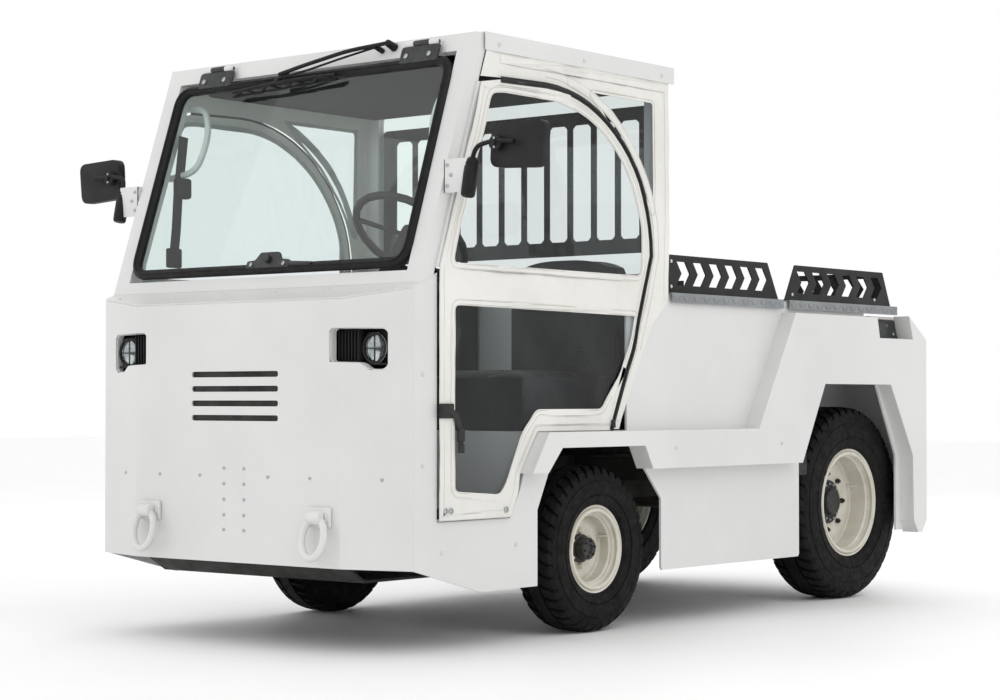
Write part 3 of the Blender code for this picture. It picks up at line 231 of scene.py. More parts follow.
def button_screw(radius):
    """A button-head screw standing on the XY plane with its socket sunk."""
    bpy.ops.object.select_all(action="DESELECT")
    bpy.ops.mesh.primitive_cylinder_add(vertices=18, radius=radius, depth=radius * 0.30,
                                        location=(0, 0, radius * 0.15))
    head = bpy.context.object
    bpy.ops.object.transform_apply()
    bpy.ops.object.mode_set(mode="EDIT")
    shell = bmesh.from_edit_mesh(head.data)
    for face in shell.faces:
        face.select_set(face.normal.z > 0.9)
    for inward, lift in ((0.22, 0.22), (0.26, 0.10), (0.10, -0.26)):
        bpy.ops.mesh.inset(thickness=radius * inward)
        bpy.ops.transform.translate(value=(0, 0, radius * lift))
    bpy.ops.object.mode_set(mode="OBJECT")
    return head


def facing(direction):
    """The turn that points a piece's Z along a direction."""
    return Vector(direction).to_track_quat("Z", "Y").to_matrix().to_4x4()


def copies_at(first, places, direction):
    """Copies a piece to places, each pointing the same way or its own way, and removes the first."""
    made = []
    for index, place in enumerate(places):
        way = direction[index] if isinstance(direction, list) else direction
        copy = bpy.data.objects.new(first.name, first.data.copy())
        copy.data.transform(Matrix.Translation(Vector(place)) @ facing(way))
        bpy.context.collection.objects.link(copy)
        made.append(copy)
    bpy.data.objects.remove(first)
    return joined(made)


# the nose is flat for NOSE_FLAT each side of the middle, then folds back to the cab's side sheets,
# which it meets at CORNER_Y
NOSE_FLAT, CORNER_Y, CAB_SIDE = 0.4475, -0.951, 0.6745
nose_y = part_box("nose_panel")[0].y - AXLE_Y
beam_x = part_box("body_side_left")[1].x
cab_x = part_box("cowl")[1].x
roof_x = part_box("roof")[1].x

nose_holes = [(side * 0.044, nose_y, z) for side in (1, -1) for z in (0.544, 0.496, 0.448, 0.400, 0.354)]
nose_holes += [(x, nose_y, 0.520) for x in (-0.522, -0.336, -0.152, 0.148, 0.325, 0.581)]
nose_ways = [(0, -1, 0)] * len(nose_holes)
# the two outer ones sit on the folds beside the flat middle of the nose
fold_back, fold_out = CORNER_Y - nose_y, cab_x - NOSE_FLAT
for index, (x, y, z) in enumerate(nose_holes):
    if abs(x) > NOSE_FLAT:
        nose_holes[index] = (x, nose_y + (abs(x) - NOSE_FLAT) * fold_back / fold_out, z)
        nose_ways[index] = (math.copysign(fold_back, x), -fold_out, 0)
set_in(copies_at(button_screw(0.0052), nose_holes, nose_ways), "nose_screws", zinc)

for name, side in SIDES:
    # four in the cab's side sheet, two in the beam and three in the roof strip
    places = [(side * CAB_SIDE, y, z) for y, z in ((-0.820, 0.300), (-0.470, 0.310), (-0.905, 0.560),
                                                  (-0.905, 0.830))]
    places += [(side * beam_x, y, z) for y, z in ((0.306, 0.594), (0.963, 0.601))]
    places += [(side * roof_x, y, 1.842) for y in (-0.560, -0.130, 0.300)]
    set_in(copies_at(button_screw(0.0065), places, (side, 0, 0)), f"side_screws_{name}", white_screw)


# ---- Tyres ----
# Black industrial tyres with a block tread: curved lugs across each shoulder, a rib round the middle,
# and moulded rings on the side walls.  Road dust greys the rubber where it is not scuffed.
tyre_rubber, tree, shader = finish_named("black_tyre_rubber", "#0D0D0D", 0.78)
shader.inputs["Specular IOR Level"].default_value = 0.18
between(tree, grain(tree, 0.06, 5.0), "#090909", "#181717", shader.inputs["Base Color"])
between(tree, grain(tree, 0.02, 4.0), 0.62, 0.86, shader.inputs["Roughness"])
# moulded rubber skin: 2 mm grains, 0.1 mm high
raised(tree, shader, grain(tree, 0.002, 2.0), 0.0001)


def turned(profile, steps, closed=False):
    """Spins a profile of (across, radius) round the X axis into one closed skin."""
    bpy.ops.object.select_all(action="DESELECT")
    bpy.ops.mesh.primitive_plane_add(size=1)
    made = bpy.context.object
    bpy.ops.object.mode_set(mode="EDIT")
    shell = bmesh.from_edit_mesh(made.data)
    bmesh.ops.delete(shell, geom=shell.verts[:], context="VERTS")
    line = [shell.verts.new((across, 0, radius)) for across, radius in profile]
    for first, last in zip(line, line[1:] + line[:1] if closed else line[1:]):
        shell.edges.new((first, last))
    for vert in shell.verts:
        vert.select_set(True)
    shell.select_flush(True)
    bmesh.update_edit_mesh(made.data)
    bpy.ops.mesh.spin(steps=steps, angle=2 * math.pi, center=(0, 0, 0), axis=(1, 0, 0))
    bpy.ops.mesh.select_all(action="SELECT")
    bpy.ops.mesh.remove_doubles(threshold=0.00005)
    bpy.ops.mesh.normals_make_consistent(inside=False)
    bpy.ops.object.mode_set(mode="OBJECT")
    return made


def lugged_tyre(radius, width, bead, flange, lugs):
    """One tyre round the X axis, its outer side towards +X, with notches cut between the lugs."""
    half = width / 2
    tall = radius - flange
    wall = [(half - 0.040, bead), (half - 0.030, flange - 0.012), (half - 0.014, flange + 0.0025),
            (half - 0.006, flange + 0.010), (half - 0.001, flange + 0.25 * tall),
            (half - 0.0035, flange + 0.26 * tall), (half - 0.0035, flange + 0.29 * tall),
            (half, flange + 0.30 * tall), (half + 0.001, flange + 0.46 * tall),
            (half - 0.001, flange + 0.62 * tall), (half - 0.0035, flange + 0.63 * tall),
            (half - 0.0035, flange + 0.66 * tall), (half - 0.002, flange + 0.68 * tall)]
    tread = [(half - 0.005, radius - 0.027), (half - 0.012, radius - 0.012), (half - 0.024, radius - 0.004),
             (half * 0.52, radius - 0.0012), (half * 0.36, radius), (half * 0.35, radius - 0.010),
             (half * 0.27, radius - 0.010), (half * 0.26, radius)]
    outer = wall + tread
    profile = outer + [(-across, up) for across, up in reversed(outer)]
    # the tyre's inner skin sits on the rim
    profile += [(-half + 0.044, bead + 0.002), (half - 0.044, bead + 0.002)]
    tyre = turned(profile, lugs * 3, closed=True)
    bpy.ops.object.mode_set(mode="EDIT")
    shell = bmesh.from_edit_mesh(tyre.data)
    lug_turn = 2 * math.pi / lugs
    for face in shell.faces:
        middle = face.calc_center_median()
        up = math.hypot(middle.y, middle.z)
        angle = math.atan2(middle.y, middle.z) + (lug_turn / 2 if middle.x < 0 else 0.0)
        in_notch = angle % lug_turn < lug_turn * 0.34
        face.select_set(in_notch and up > radius - 0.028 and abs(middle.x) > half * 0.36)
    bpy.ops.mesh.extrude_region_shrink_fatten(TRANSFORM_OT_shrink_fatten={"value": -0.010})
    bpy.ops.mesh.select_all(action="SELECT")
    # the lugs curve back as they cross the shoulder
    for vert in shell.verts:
        up = math.hypot(vert.co.y, vert.co.z)
        if up > radius - 0.030:
            lean = 0.9 * lug_turn * (abs(vert.co.x) / half) ** 2 * math.copysign(1.0, vert.co.x)
            vert.co = Matrix.Rotation(lean, 3, "X") @ vert.co
    bmesh.update_edit_mesh(tyre.data)
    bpy.ops.object.mode_set(mode="OBJECT")
    return tyre


# ---- Rims ----
# Pressed steel discs in cream wheel enamel, with a split lock ring round the flange, a ring of
# wheel nuts and a valve.  The front hubs carry a black cap, and the driven rear hubs a black flange
# with its bolts.
cream_enamel, tree, shader = finish_named("cream_wheel_enamel", "#D3D0C4", 0.36)
between(tree, grain(tree, 0.07, 5.0), "#C9C5B6", "#D9D6CB", shader.inputs["Base Color"])
between(tree, grain(tree, 0.03, 4.0), 0.30, 0.48, shader.inputs["Roughness"])
# brushed-on enamel: 4 mm waves, 0.05 mm high
raised(tree, shader, grain(tree, 0.004, 2.0), 0.00005)

hub_black, tree, shader = finish_named("black_hub_enamel", "#161616", 0.40)
between(tree, grain(tree, 0.02, 4.0), "#101010", "#262523", shader.inputs["Base Color"])
# grease and grit on the casting: 3 mm grains, 0.2 mm high
raised(tree, shader, grain(tree, 0.003, 3.0), 0.0002)


def hexagon_nut(across, height):
    """A chamfered nut with its stud end, standing on the XY plane."""
    bpy.ops.object.select_all(action="DESELECT")
    bpy.ops.mesh.primitive_cylinder_add(vertices=6, radius=across / math.sqrt(3), depth=height,
                                        location=(0, 0, height / 2))
    nut = bpy.context.object
    bpy.ops.object.transform_apply()
    bpy.ops.object.mode_set(mode="EDIT")
    shell = bmesh.from_edit_mesh(nut.data)
    for face in shell.faces:
        face.select_set(face.normal.z > 0.9)
    bpy.ops.mesh.inset(thickness=across * 0.08)
    bpy.ops.transform.translate(value=(0, 0, height * 0.12))
    bpy.ops.mesh.inset(thickness=across * 0.14)
    bpy.ops.mesh.extrude_region_move(TRANSFORM_OT_translate={"value": (0, 0, height * 0.35)})
    bpy.ops.object.mode_set(mode="OBJECT")
    return nut


def ring_of(first, count, radius, across, start=0.0):
    """Copies a piece round a circle about the X axis, each pointing to +X."""
    places = []
    for index in range(count):
        angle = start + 2 * math.pi * index / count
        places.append((across, radius * math.sin(angle), radius * math.cos(angle)))
    return copies_at(first, places, (1, 0, 0))


def rod_between(start, end, radius, sides=20, end_radius=None, soft_edge=0.0):
    """A round bar between two points with softened ends."""
    start, end = Vector(start), Vector(end)
    bpy.ops.object.select_all(action="DESELECT")
    bpy.ops.mesh.primitive_cone_add(vertices=sides, radius1=radius, depth=(end - start).length,
                                    radius2=radius if end_radius is None else end_radius)
    made = bpy.context.object
    made.data.transform(Matrix.Translation((start + end) / 2) @ facing(end - start))
    return softened(made, soft_edge) if soft_edge else made


def softened(piece, width, segments=2, limit=35):
    """Rounds a piece's sharp edges."""
    only(piece)
    edge = piece.modifiers.new("round", "BEVEL")
    edge.width = width
    edge.segments = segments
    edge.limit_method = "ANGLE"
    edge.angle_limit = math.radians(limit)
    bpy.ops.object.modifier_apply(modifier=edge.name)
    return piece


# tyre radius and width, bead and flange radius, lugs round the tread, the disc's place across,
# hub radius and the hub's outer end
WHEELS = {"front": (0.270, 0.160, 0.1143, 0.1427, 38, -0.004, 0.034, 0.040),
          "rear": (0.364, 0.190, 0.1800, 0.2035, 44, -0.020, 0.048, 0.012)}
for end, (radius, width, bead, flange, lugs, disc, hub, hub_end) in WHEELS.items():
    half = width / 2
    lip = half - 0.019
    outer_side = [(lip, flange - 0.006), (lip + 0.0035, flange), (lip + 0.001, flange + 0.002),
                  (half - 0.016, flange - 0.001), (half - 0.028, bead + 0.012), (half - 0.034, bead - 0.001),
                  (-half + 0.034, bead - 0.001), (-half + 0.028, bead + 0.012), (-half + 0.016, flange),
                  (-half + 0.010, flange), (-half + 0.010, flange - 0.006), (-half + 0.026, bead - 0.006)]
    dish = [(disc - 0.010, bead - 0.006), (disc - 0.010, hub - 0.004), (disc, hub - 0.004),
            (disc, bead * 0.60), (disc + 0.006, bead * 0.70), (disc + 0.006, bead * 0.84),
            (disc + 0.002, bead - 0.010), (disc + 0.006, bead - 0.006), (half - 0.044, bead - 0.007),
            (half - 0.036, bead + 0.001), (half - 0.030, bead + 0.010), (half - 0.024, flange - 0.010)]
    rim = turned(outer_side + dish, 72, closed=True)
    # the split lock ring that holds the tyre's outer bead
    ring = turned([(lip + 0.001, flange - 0.010), (lip + 0.005, flange - 0.013),
                   (lip + 0.005, flange - 0.020), (lip + 0.001, flange - 0.023),
                   (lip - 0.003, flange - 0.0165)], 72, closed=True)
    valve = rod_between((disc + 0.006, bead * 0.80, bead * 0.30), (disc + 0.040, bead * 0.84, bead * 0.32),
                        0.004, 12, soft_edge=0.001)
    rim_cream = joined([rim, ring, valve])
    nuts = 6 if end == "front" else 8
    circle = bead * (0.50 if end == "front" else 0.60)
    nut_ring = ring_of(hexagon_nut(0.017, 0.012), nuts, circle, disc)
    if end == "front":
        cap = turned([(disc, 0.0), (disc, 0.047), (disc + 0.012, 0.046), (disc + 0.014, 0.038),
                      (hub_end - 0.004, 0.036), (hub_end, 0.033), (hub_end, 0.016), (hub_end - 0.004, 0.014),
                      (hub_end - 0.004, 0.0)], 40)
        bolts = ring_of(hexagon_nut(0.007, 0.004), 6, 0.026, hub_end, 0.3)
    else:
        cap = turned([(disc, 0.0), (disc, 0.084), (disc + 0.010, 0.083), (disc + 0.013, 0.078),
                      (disc + 0.014, 0.058), (disc + 0.020, 0.052), (hub_end, 0.049),
                      (hub_end + 0.004, 0.044), (hub_end + 0.004, 0.0)], 48)
        bolts = ring_of(hexagon_nut(0.009, 0.006), 16, 0.068, disc + 0.013)
    tyre = lugged_tyre(radius, width, bead - 0.0005, flange, lugs)
    for name, side in SIDES:
        low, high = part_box(f"{end}_{name}_tyre")
        centre = (low + high) / 2 - Vector((0, AXLE_Y, 0))
        faces_out = Matrix.Identity(4) if side > 0 else Matrix.Rotation(math.pi, 4, "Z")
        place = Matrix.Translation(centre) @ faces_out
        body = f"{end}_{name}_wheel"
        takes = {"tyre": (f"{end}_{name}_tyre",), "rim": (f"{end}_{name}_rim",)}
        for part, model, finish, slot_name in (
                ("tyre", tyre, tyre_rubber, "tyre_rubber"), ("rim", rim_cream, cream_enamel, "rim_paint"),
                ("wheel_nuts", nut_ring, cream_enamel if end == "front" else hub_black, "rim_paint"),
                ("hub", cap, hub_black, "iron"),
                ("hub_bolts", bolts, zinc if end == "rear" else hub_black, "iron")):
            copy = bpy.data.objects.new(part, model.data.copy())
            copy.data.transform(place)
            bpy.context.collection.objects.link(copy)
            set_in(copy, f"{body}_{part}", finish, body, 28.0, takes.get(part, ()))
    for model in (tyre, rim_cream, nut_ring, cap, bolts):
        bpy.data.objects.remove(model)


# ---- Windscreen ----
# Green-tinted laminated glass held in a fat black rubber moulding with a locking strip.  The whole
# screen swings up on two hinges at the roof edge and is held shut by a latch at its foot.
LEAN = math.radians(18.5)
screen_low, screen_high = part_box("windscreen_frame")
screen_half = screen_high.x
SCREEN_TALL = 0.714
SCREEN = (Matrix.Translation((0, screen_low.y - AXLE_Y + 0.010 * math.cos(LEAN) - 0.012 * math.sin(LEAN),
                              screen_low.z + 0.020 * math.sin(LEAN) - 0.012 * math.cos(LEAN)))
          @ Matrix.Rotation(-LEAN, 4, "X"))


def clear_sheet(name, tint, rough, shine=1.0):
    """A see-through finish: what is behind shows tinted, and the surface mirrors at a slant."""
    made = bpy.data.materials.new(name)
    made.use_nodes = True
    made.diffuse_color = (*colour(tint)[:3], 0.4)
    tree = made.node_tree
    tree.nodes.clear()
    # only the side towards the eye mirrors, as a thin pane's two skins share one reflection
    back = node(tree, "NewGeometry").outputs["Backfacing"]
    front = node(tree, "Math", {"operation": "SUBTRACT", 0: 1.0}, {1: back}).outputs["Value"]
    slant = node(tree, "Fresnel", {"IOR": 1.5}).outputs["Fac"]
    edge = node(tree, "Math", {"operation": "MULTIPLY"}, {0: slant, 1: front})
    through = node(tree, "BsdfTransparent", {"Color": colour(tint)})
    mirror = node(tree, "BsdfGlossy", {"Color": (shine, shine, shine, 1), "Roughness": rough})
    mix = node(tree, "MixShader", links={"Fac": edge.outputs["Value"], 1: through.outputs["BSDF"],
                                         2: mirror.outputs["BSDF"]})
    node(tree, "OutputMaterial", links={"Surface": mix.outputs["Shader"]})
    return made, tree, mirror


coat(["windscreen"], clear_sheet("green_laminated_glass", "#F5FBF9", 0.02)[0])
coat(["rear_window"], clear_sheet("clear_rear_glass", "#F8FAF9", 0.02)[0])

seal_rubber, tree, shader = finish_named("black_seal_rubber", "#101010", 0.50)
shader.inputs["Specular IOR Level"].default_value = 0.28
between(tree, grain(tree, 0.03, 4.0), 0.42, 0.62, shader.inputs["Roughness"])
# extruded skin: 1.5 mm grains, 0.05 mm high
raised(tree, shader, grain(tree, 0.0015, 2.0), 0.00005)

# dark grey paint of the screen's hinges and latch; on the tail lamp plates it is partly painted shade for
# their notches
dark_fitting_and_notch_shade, tree, shader = finish_named("dark_grey_fitting_paint_and_notch_shade", "#2A2B2C", 0.45, 0.2)
between(tree, grain(tree, 0.02, 4.0), "#232425", "#343536", shader.inputs["Base Color"])
raised(tree, shader, grain(tree, 0.002, 2.0), 0.00008)


def round_corners(points, radius, steps=5):
    """A closed outline with its corners rounded."""
    path = []
    for index, corner in enumerate(points):
        corner, before = Vector(corner), Vector(points[index - 1])
        after = Vector(points[(index + 1) % len(points)])
        reach = min(radius, (before - corner).length / 2.1, (after - corner).length / 2.1)
        first = corner + (before - corner).normalized() * reach
        last = corner + (after - corner).normalized() * reach
        for step in range(steps + 1):
            t = step / steps
            path.append(first * (1 - t) ** 2 + corner * 2 * t * (1 - t) + last * t * t)
    return path


def oblong(low_a, low_b, high_a, high_b):
    """The four corners of an oblong, for an outline."""
    return [(low_a, low_b), (high_a, low_b), (high_a, high_b), (low_a, high_b)]


def bent_tube(points, radius, closed=False, rings=3, bend=0.0):
    """A tube along points, its corners bent to a radius."""
    path = [Vector(p) for p in points]
    if bend:
        inner = round_corners(path, bend, 6)
        path = [path[0]] + inner[7:-7] + [path[-1]]
    curve = bpy.data.curves.new("tube", "CURVE")
    curve.dimensions = "3D"
    curve.bevel_depth = radius
    curve.bevel_resolution = rings
    curve.use_fill_caps = not closed
    line = curve.splines.new("POLY")
    line.points.add(len(path) - 1)
    for point, place in zip(line.points, path):
        point.co = (*place, 1.0)
    line.use_cyclic_u = closed
    made = bpy.data.objects.new("tube", curve)
    bpy.context.collection.objects.link(made)
    only(made)
    bpy.ops.object.convert(target="MESH")
    bpy.ops.object.mode_set(mode="EDIT")
    bpy.ops.mesh.select_all(action="SELECT")
    bpy.ops.mesh.remove_doubles(threshold=0.00002)
    bpy.ops.object.mode_set(mode="OBJECT")
    return made


def cut_sheet(outlines, thickness, place=Matrix.Identity(4), soft_edge=0.0):
    """A sheet cut to outlines, the first its edge and the rest holes, thick both ways from its plane."""
    curve = bpy.data.curves.new("cut", "CURVE")
    curve.dimensions = "2D"
    curve.fill_mode = "BOTH"
    curve.extrude = thickness / 2
    for outline in outlines:
        line = curve.splines.new("POLY")
        line.points.add(len(outline) - 1)
        for point, (across, up, *_) in zip(line.points, outline):
            point.co = (across, up, 0.0, 1.0)
        line.use_cyclic_u = True
    made = bpy.data.objects.new("cut", curve)
    bpy.context.collection.objects.link(made)
    only(made)
    bpy.ops.object.convert(target="MESH")
    bpy.ops.object.mode_set(mode="EDIT")
    bpy.ops.mesh.select_all(action="SELECT")
    bpy.ops.mesh.remove_doubles(threshold=0.00002)
    bpy.ops.mesh.normals_make_consistent(inside=False)
    bpy.ops.object.mode_set(mode="OBJECT")
    made.data.transform(place)
    return softened(made, soft_edge, 2) if soft_edge else made


# an outline drawn as (X, Z) standing up and facing the front, or as (Y, Z) on the tug's side
UPRIGHT = Matrix(((1, 0, 0, 0), (0, 0, -1, 0), (0, 1, 0, 0), (0, 0, 0, 1)))
ON_SIDE = Matrix(((0, 0, 1, 0), (1, 0, 0, 0), (0, 1, 0, 0), (0, 0, 0, 1)))


def block_between(low, high, soft_edge=0.002, place=Matrix.Identity(4)):
    """A block between two corners with softened edges."""
    low, high = Vector(low), Vector(high)
    bpy.ops.object.select_all(action="DESELECT")
    bpy.ops.mesh.primitive_cube_add(size=1, location=(low + high) / 2, scale=high - low)
    made = bpy.context.object
    bpy.ops.object.transform_apply(location=True, rotation=True, scale=True)
    softened(made, soft_edge)
    made.data.transform(place)
    return made



def on_screen(across, out, up):
    """A place on the screen: across, out of its plane towards +, and up its slope from its foot."""
    return SCREEN @ Vector((across, out, up))


# the moulding's middle lies this far in from the frame's edge, and the frame starts 12 mm up
MOULDING_IN, FRAME_START = 0.0145, 0.012
moulding_path = [(x, 0.001, h) for x, h in round_corners(
    oblong(MOULDING_IN - screen_half, FRAME_START + MOULDING_IN, screen_half - MOULDING_IN,
           SCREEN_TALL - FRAME_START - MOULDING_IN), 0.060, 8)]
moulding = bent_tube(moulding_path, 0.0165, closed=True, rings=4)
strip = bent_tube([(x * 0.999, -0.0150, h) for x, _, h in moulding_path], 0.0045, closed=True, rings=2)
moulding = joined([moulding, strip])
moulding.data.transform(SCREEN)
set_in(moulding, "windscreen_moulding", seal_rubber, takes=("windscreen_frame",), smooth=50)

hinge_plates, hinge_bolts, hinge_ends, hinge_pins = [], [], [], []
for low_x, high_x in ((0.400, 0.556), (-0.501, -0.344)):
    outline = round_corners(oblong(low_x, 0.682, high_x, 0.738), 0.010, 3)
    hinge_plates.append(cut_sheet([outline], 0.006, SCREEN @ Matrix.Translation((0, -0.0165, 0)) @ UPRIGHT,
                                  0.0012))
    hinge_bolts += [on_screen(x, -0.0195, 0.706) for x in (low_x + 0.024, high_x - 0.038)]
    for start, end, store in ((0.012, 0.045, hinge_ends), (0.046, 0.108, hinge_pins),
                              (0.109, 0.142, hinge_ends)):
        store.append(rod_between(on_screen(low_x + start, -0.014, 0.748),
                                 on_screen(low_x + end, -0.014, 0.748), 0.0105, 20, soft_edge=0.0015))
    # the fixed leaf reaches back over the roof's front edge
    hinge_ends.append(block_between((low_x + 0.012, -0.014, 0.742), (low_x + 0.142, 0.012, 0.7575), 0.001,
                                    SCREEN))
set_in(joined(hinge_plates + hinge_pins), "screen_hinge_leaves", dark_fitting_and_notch_shade)
set_in(joined(hinge_ends), "screen_hinge_barrels", powder_white)
forward = SCREEN.to_3x3() @ Vector((0, -1, 0))
set_in(copies_at(button_screw(0.0085), hinge_bolts, tuple(forward)), "screen_hinge_bolts", zinc)

latch_outline = round_corners([(-0.055, 0.022), (0.134, 0.022), (0.134, 0.046), (0.095, 0.050), (0.080, 0.074),
                               (-0.002, 0.074), (-0.020, 0.048), (-0.055, 0.046)], 0.008, 3)
latch = cut_sheet([latch_outline], 0.007, SCREEN @ Matrix.Translation((0, -0.018, 0)) @ UPRIGHT, 0.0015)
tail = rod_between(on_screen(0.128, -0.020, 0.034), on_screen(0.228, -0.020, 0.030), 0.0075, 14, 0.0055,
                   0.002)
knob = rod_between(on_screen(0.038, -0.020, 0.050), on_screen(0.038, -0.036, 0.050), 0.013, 24,
                   soft_edge=0.003)
set_in(joined([latch, tail, knob]), "screen_latch", dark_fitting_and_notch_shade)
set_in(copies_at(button_screw(0.0070), [on_screen(x, -0.0215, 0.034) for x in (-0.034, 0.108)],
                 tuple(forward)), "screen_latch_bolts", zinc)

# wiper: a spindle on the roof edge, two parallel arms, and a clawed blade with its rubber
spindle = rod_between(on_screen(0.349, 0.000, 0.752), on_screen(0.349, -0.040, 0.752), 0.014, 20, 0.011,
                      0.003)
second_spindle = rod_between(on_screen(0.300, 0.000, 0.745), on_screen(0.300, -0.034, 0.745), 0.009, 16,
                             soft_edge=0.002)
blade_hub = Vector((-0.093, -0.046, 0.684))
arm_line = ((0.349, -0.036, 0.752), (0.200, -0.050, 0.735), (0.010, -0.050, 0.702), blade_hub)
link_line = ((0.300, -0.032, 0.745), (0.180, -0.044, 0.716), (0.010, -0.046, 0.682),
             blade_hub - Vector((0, 0, 0.012)))
arms = [bent_tube([SCREEN @ Vector(p) for p in arm_line], 0.0064, bend=0.05),
        bent_tube([SCREEN @ Vector(p) for p in link_line], 0.0036, bend=0.05),
        rod_between(SCREEN @ (blade_hub + Vector((0.030, 0.006, 0.010))),
                    SCREEN @ (blade_hub + Vector((-0.020, 0.012, -0.022))), 0.009, 14, soft_edge=0.002)]
# the blade is 455 mm long and bows 12 mm off the glass
blade = []
for index in range(25):
    t = index / 24
    blade.append((-0.310 + 0.455 * t, -0.029 - 0.012 * math.sin(math.pi * t), 0.668 - 0.020 * (1 - t)))
blade_back = bent_tube([on_screen(*p) for p in blade], 0.0058, rings=2)
rubber = bent_tube([on_screen(x, -0.0195, h - 0.012) for x, _, h in blade], 0.0050, rings=1)
claws = [bent_tube([on_screen(x - 0.045, -0.021, h - 0.012), on_screen(x, y - 0.004, h),
                    on_screen(x + 0.045, -0.021, h - 0.012)], 0.0050, bend=0.02, rings=1)
         for x, y, h in blade[3::6]]
wiper = joined([spindle, second_spindle] + arms + [blade_back, rubber] + claws)
set_in(wiper, "wiper", seal_rubber)

# six screws in a row across the cowl, which slopes up from the nose's top edge
COWL_SLOPE, COWL_FOOT, COWL_ROW = math.radians(22), 1.060, -0.955
cowl_places = [(x, COWL_ROW, COWL_FOOT + (COWL_ROW - nose_y) * math.tan(COWL_SLOPE))
               for x in (-0.600, -0.340, -0.110, 0.110, 0.340, 0.600)]
cowl_way = (0, -math.sin(COWL_SLOPE), math.cos(COWL_SLOPE))
set_in(copies_at(button_screw(0.0062), cowl_places, cowl_way), "cowl_screws", white_screw)


# ---- Cab doors and curtains ----
# PVC-coated canvas doors hang on the front pillars and zip to a fixed quarter curtain.  The canvas is
# cut to shape, hemmed and welted with lock stitches, and clear vinyl windows are sewn in behind.
canvas, tree, shader = finish_named("white_coated_canvas", "#E1E0DB", 0.52)
between(tree, grain(tree, 0.30, 5.0), "#DBDAD4", "#E6E5E1", shader.inputs["Base Color"])
between(tree, grain(tree, 0.05, 4.0), 0.48, 0.66, shader.inputs["Roughness"])
# plain weave under the coating, drawn at 3 mm spacing so that it shows, with creases about 60 mm apart
place = node(tree, "TexCoord").outputs["Object"]
warp = node(tree, "TexWave", {"wave_type": "BANDS", "bands_direction": "Y", "Scale": 1 / 0.003 / 6.283},
            {"Vector": place}).outputs["Fac"]
weft = node(tree, "TexWave", {"wave_type": "BANDS", "bands_direction": "Z", "Scale": 1 / 0.003 / 6.283},
            {"Vector": place}).outputs["Fac"]
weave = node(tree, "Math", {"operation": "ADD"}, {0: warp, 1: weft}).outputs["Value"]
fine = node(tree, "Bump", {"Strength": 0.35, "Distance": 0.0002}, {"Height": weave})
creased = node(tree, "Bump", {"Strength": 0.75, "Distance": 0.007},
               {"Height": grain(tree, 0.06, 3.0, (1.0, 0.6, 1.0)), "Normal": fine.outputs["Normal"]})
tree.links.new(creased.outputs["Normal"], shader.inputs["Normal"])

# pressed vinyl lies in slack waves 110 mm apart, 4 mm deep
clear_vinyl, tree, mirror = clear_sheet("clear_window_vinyl", "#F4F6F7", 0.06, 0.55)
ripple = node(tree, "Bump", {"Strength": 0.6, "Distance": 0.004}, {"Height": grain(tree, 0.11, 2.0)})
tree.links.new(ripple.outputs["Normal"], mirror.inputs["Normal"])

zip_tape, tree, shader = finish_named("black_zip_tape", "#131313", 0.62)
between(tree, grain(tree, 0.01, 3.0), "#0E0E0E", "#1D1D1D", shader.inputs["Base Color"])
# woven tape: 1.5 mm grains, 0.3 mm high
raised(tree, shader, grain(tree, 0.0015, 2.0), 0.0003)

thread, tree, shader = finish_named("pale_grey_polyester_thread", "#B5B2A8", 0.60)
between(tree, grain(tree, 0.003, 2.0), "#A9A69C", "#C4C1B8", shader.inputs["Base Color"])


def zip_line(inward):
    """The zip from the roof round to the side beam, moved in towards the door."""
    line = [(-0.560, 1.737 - inward)]
    for step in range(17):
        angle = math.radians(90 - step * 90 / 16)
        line.append((-0.330 + (0.565 - inward) * math.cos(angle), 1.233 + (0.510 - inward) * math.sin(angle)))
    return line + [(0.129 - inward, 0.919), (0.010 - inward, 0.6563)]


def spaced(line, step, closed=True):
    """A line with points no more than a step apart, so that cloth made on it can drape."""
    out = []
    line = [Vector(p[:2]) for p in line]
    for start, end in zip(line, line[1:] + line[:1] if closed else line[1:]):
        count = max(1, math.ceil((end - start).length / step))
        out += [start.lerp(end, i / count) for i in range(count)]
    return out if closed else out + [line[-1]]


def drape(y, z, seed):
    """How far the cloth stands out at a place: slack between its edges, with folds from the corners."""
    slack = 0.0060 * noise.noise(Vector((y * 2.1, z * 1.5, seed)))
    folds = 0.0055 * noise.noise(Vector((y * 6 + z * 4, z * 2.5 - y * 2, seed + 4)))
    small = 0.0022 * noise.noise(Vector((y * 19, z * 13, seed + 9)))
    return slack + folds + small


def hang(piece, seed, out=0.0, least=-1.0):
    """Drapes a flat piece of cloth made on the tug's left side."""
    for vert in piece.data.vertices:
        vert.co.x += out + max(least, drape(vert.co.y, vert.co.z, seed))
    return piece


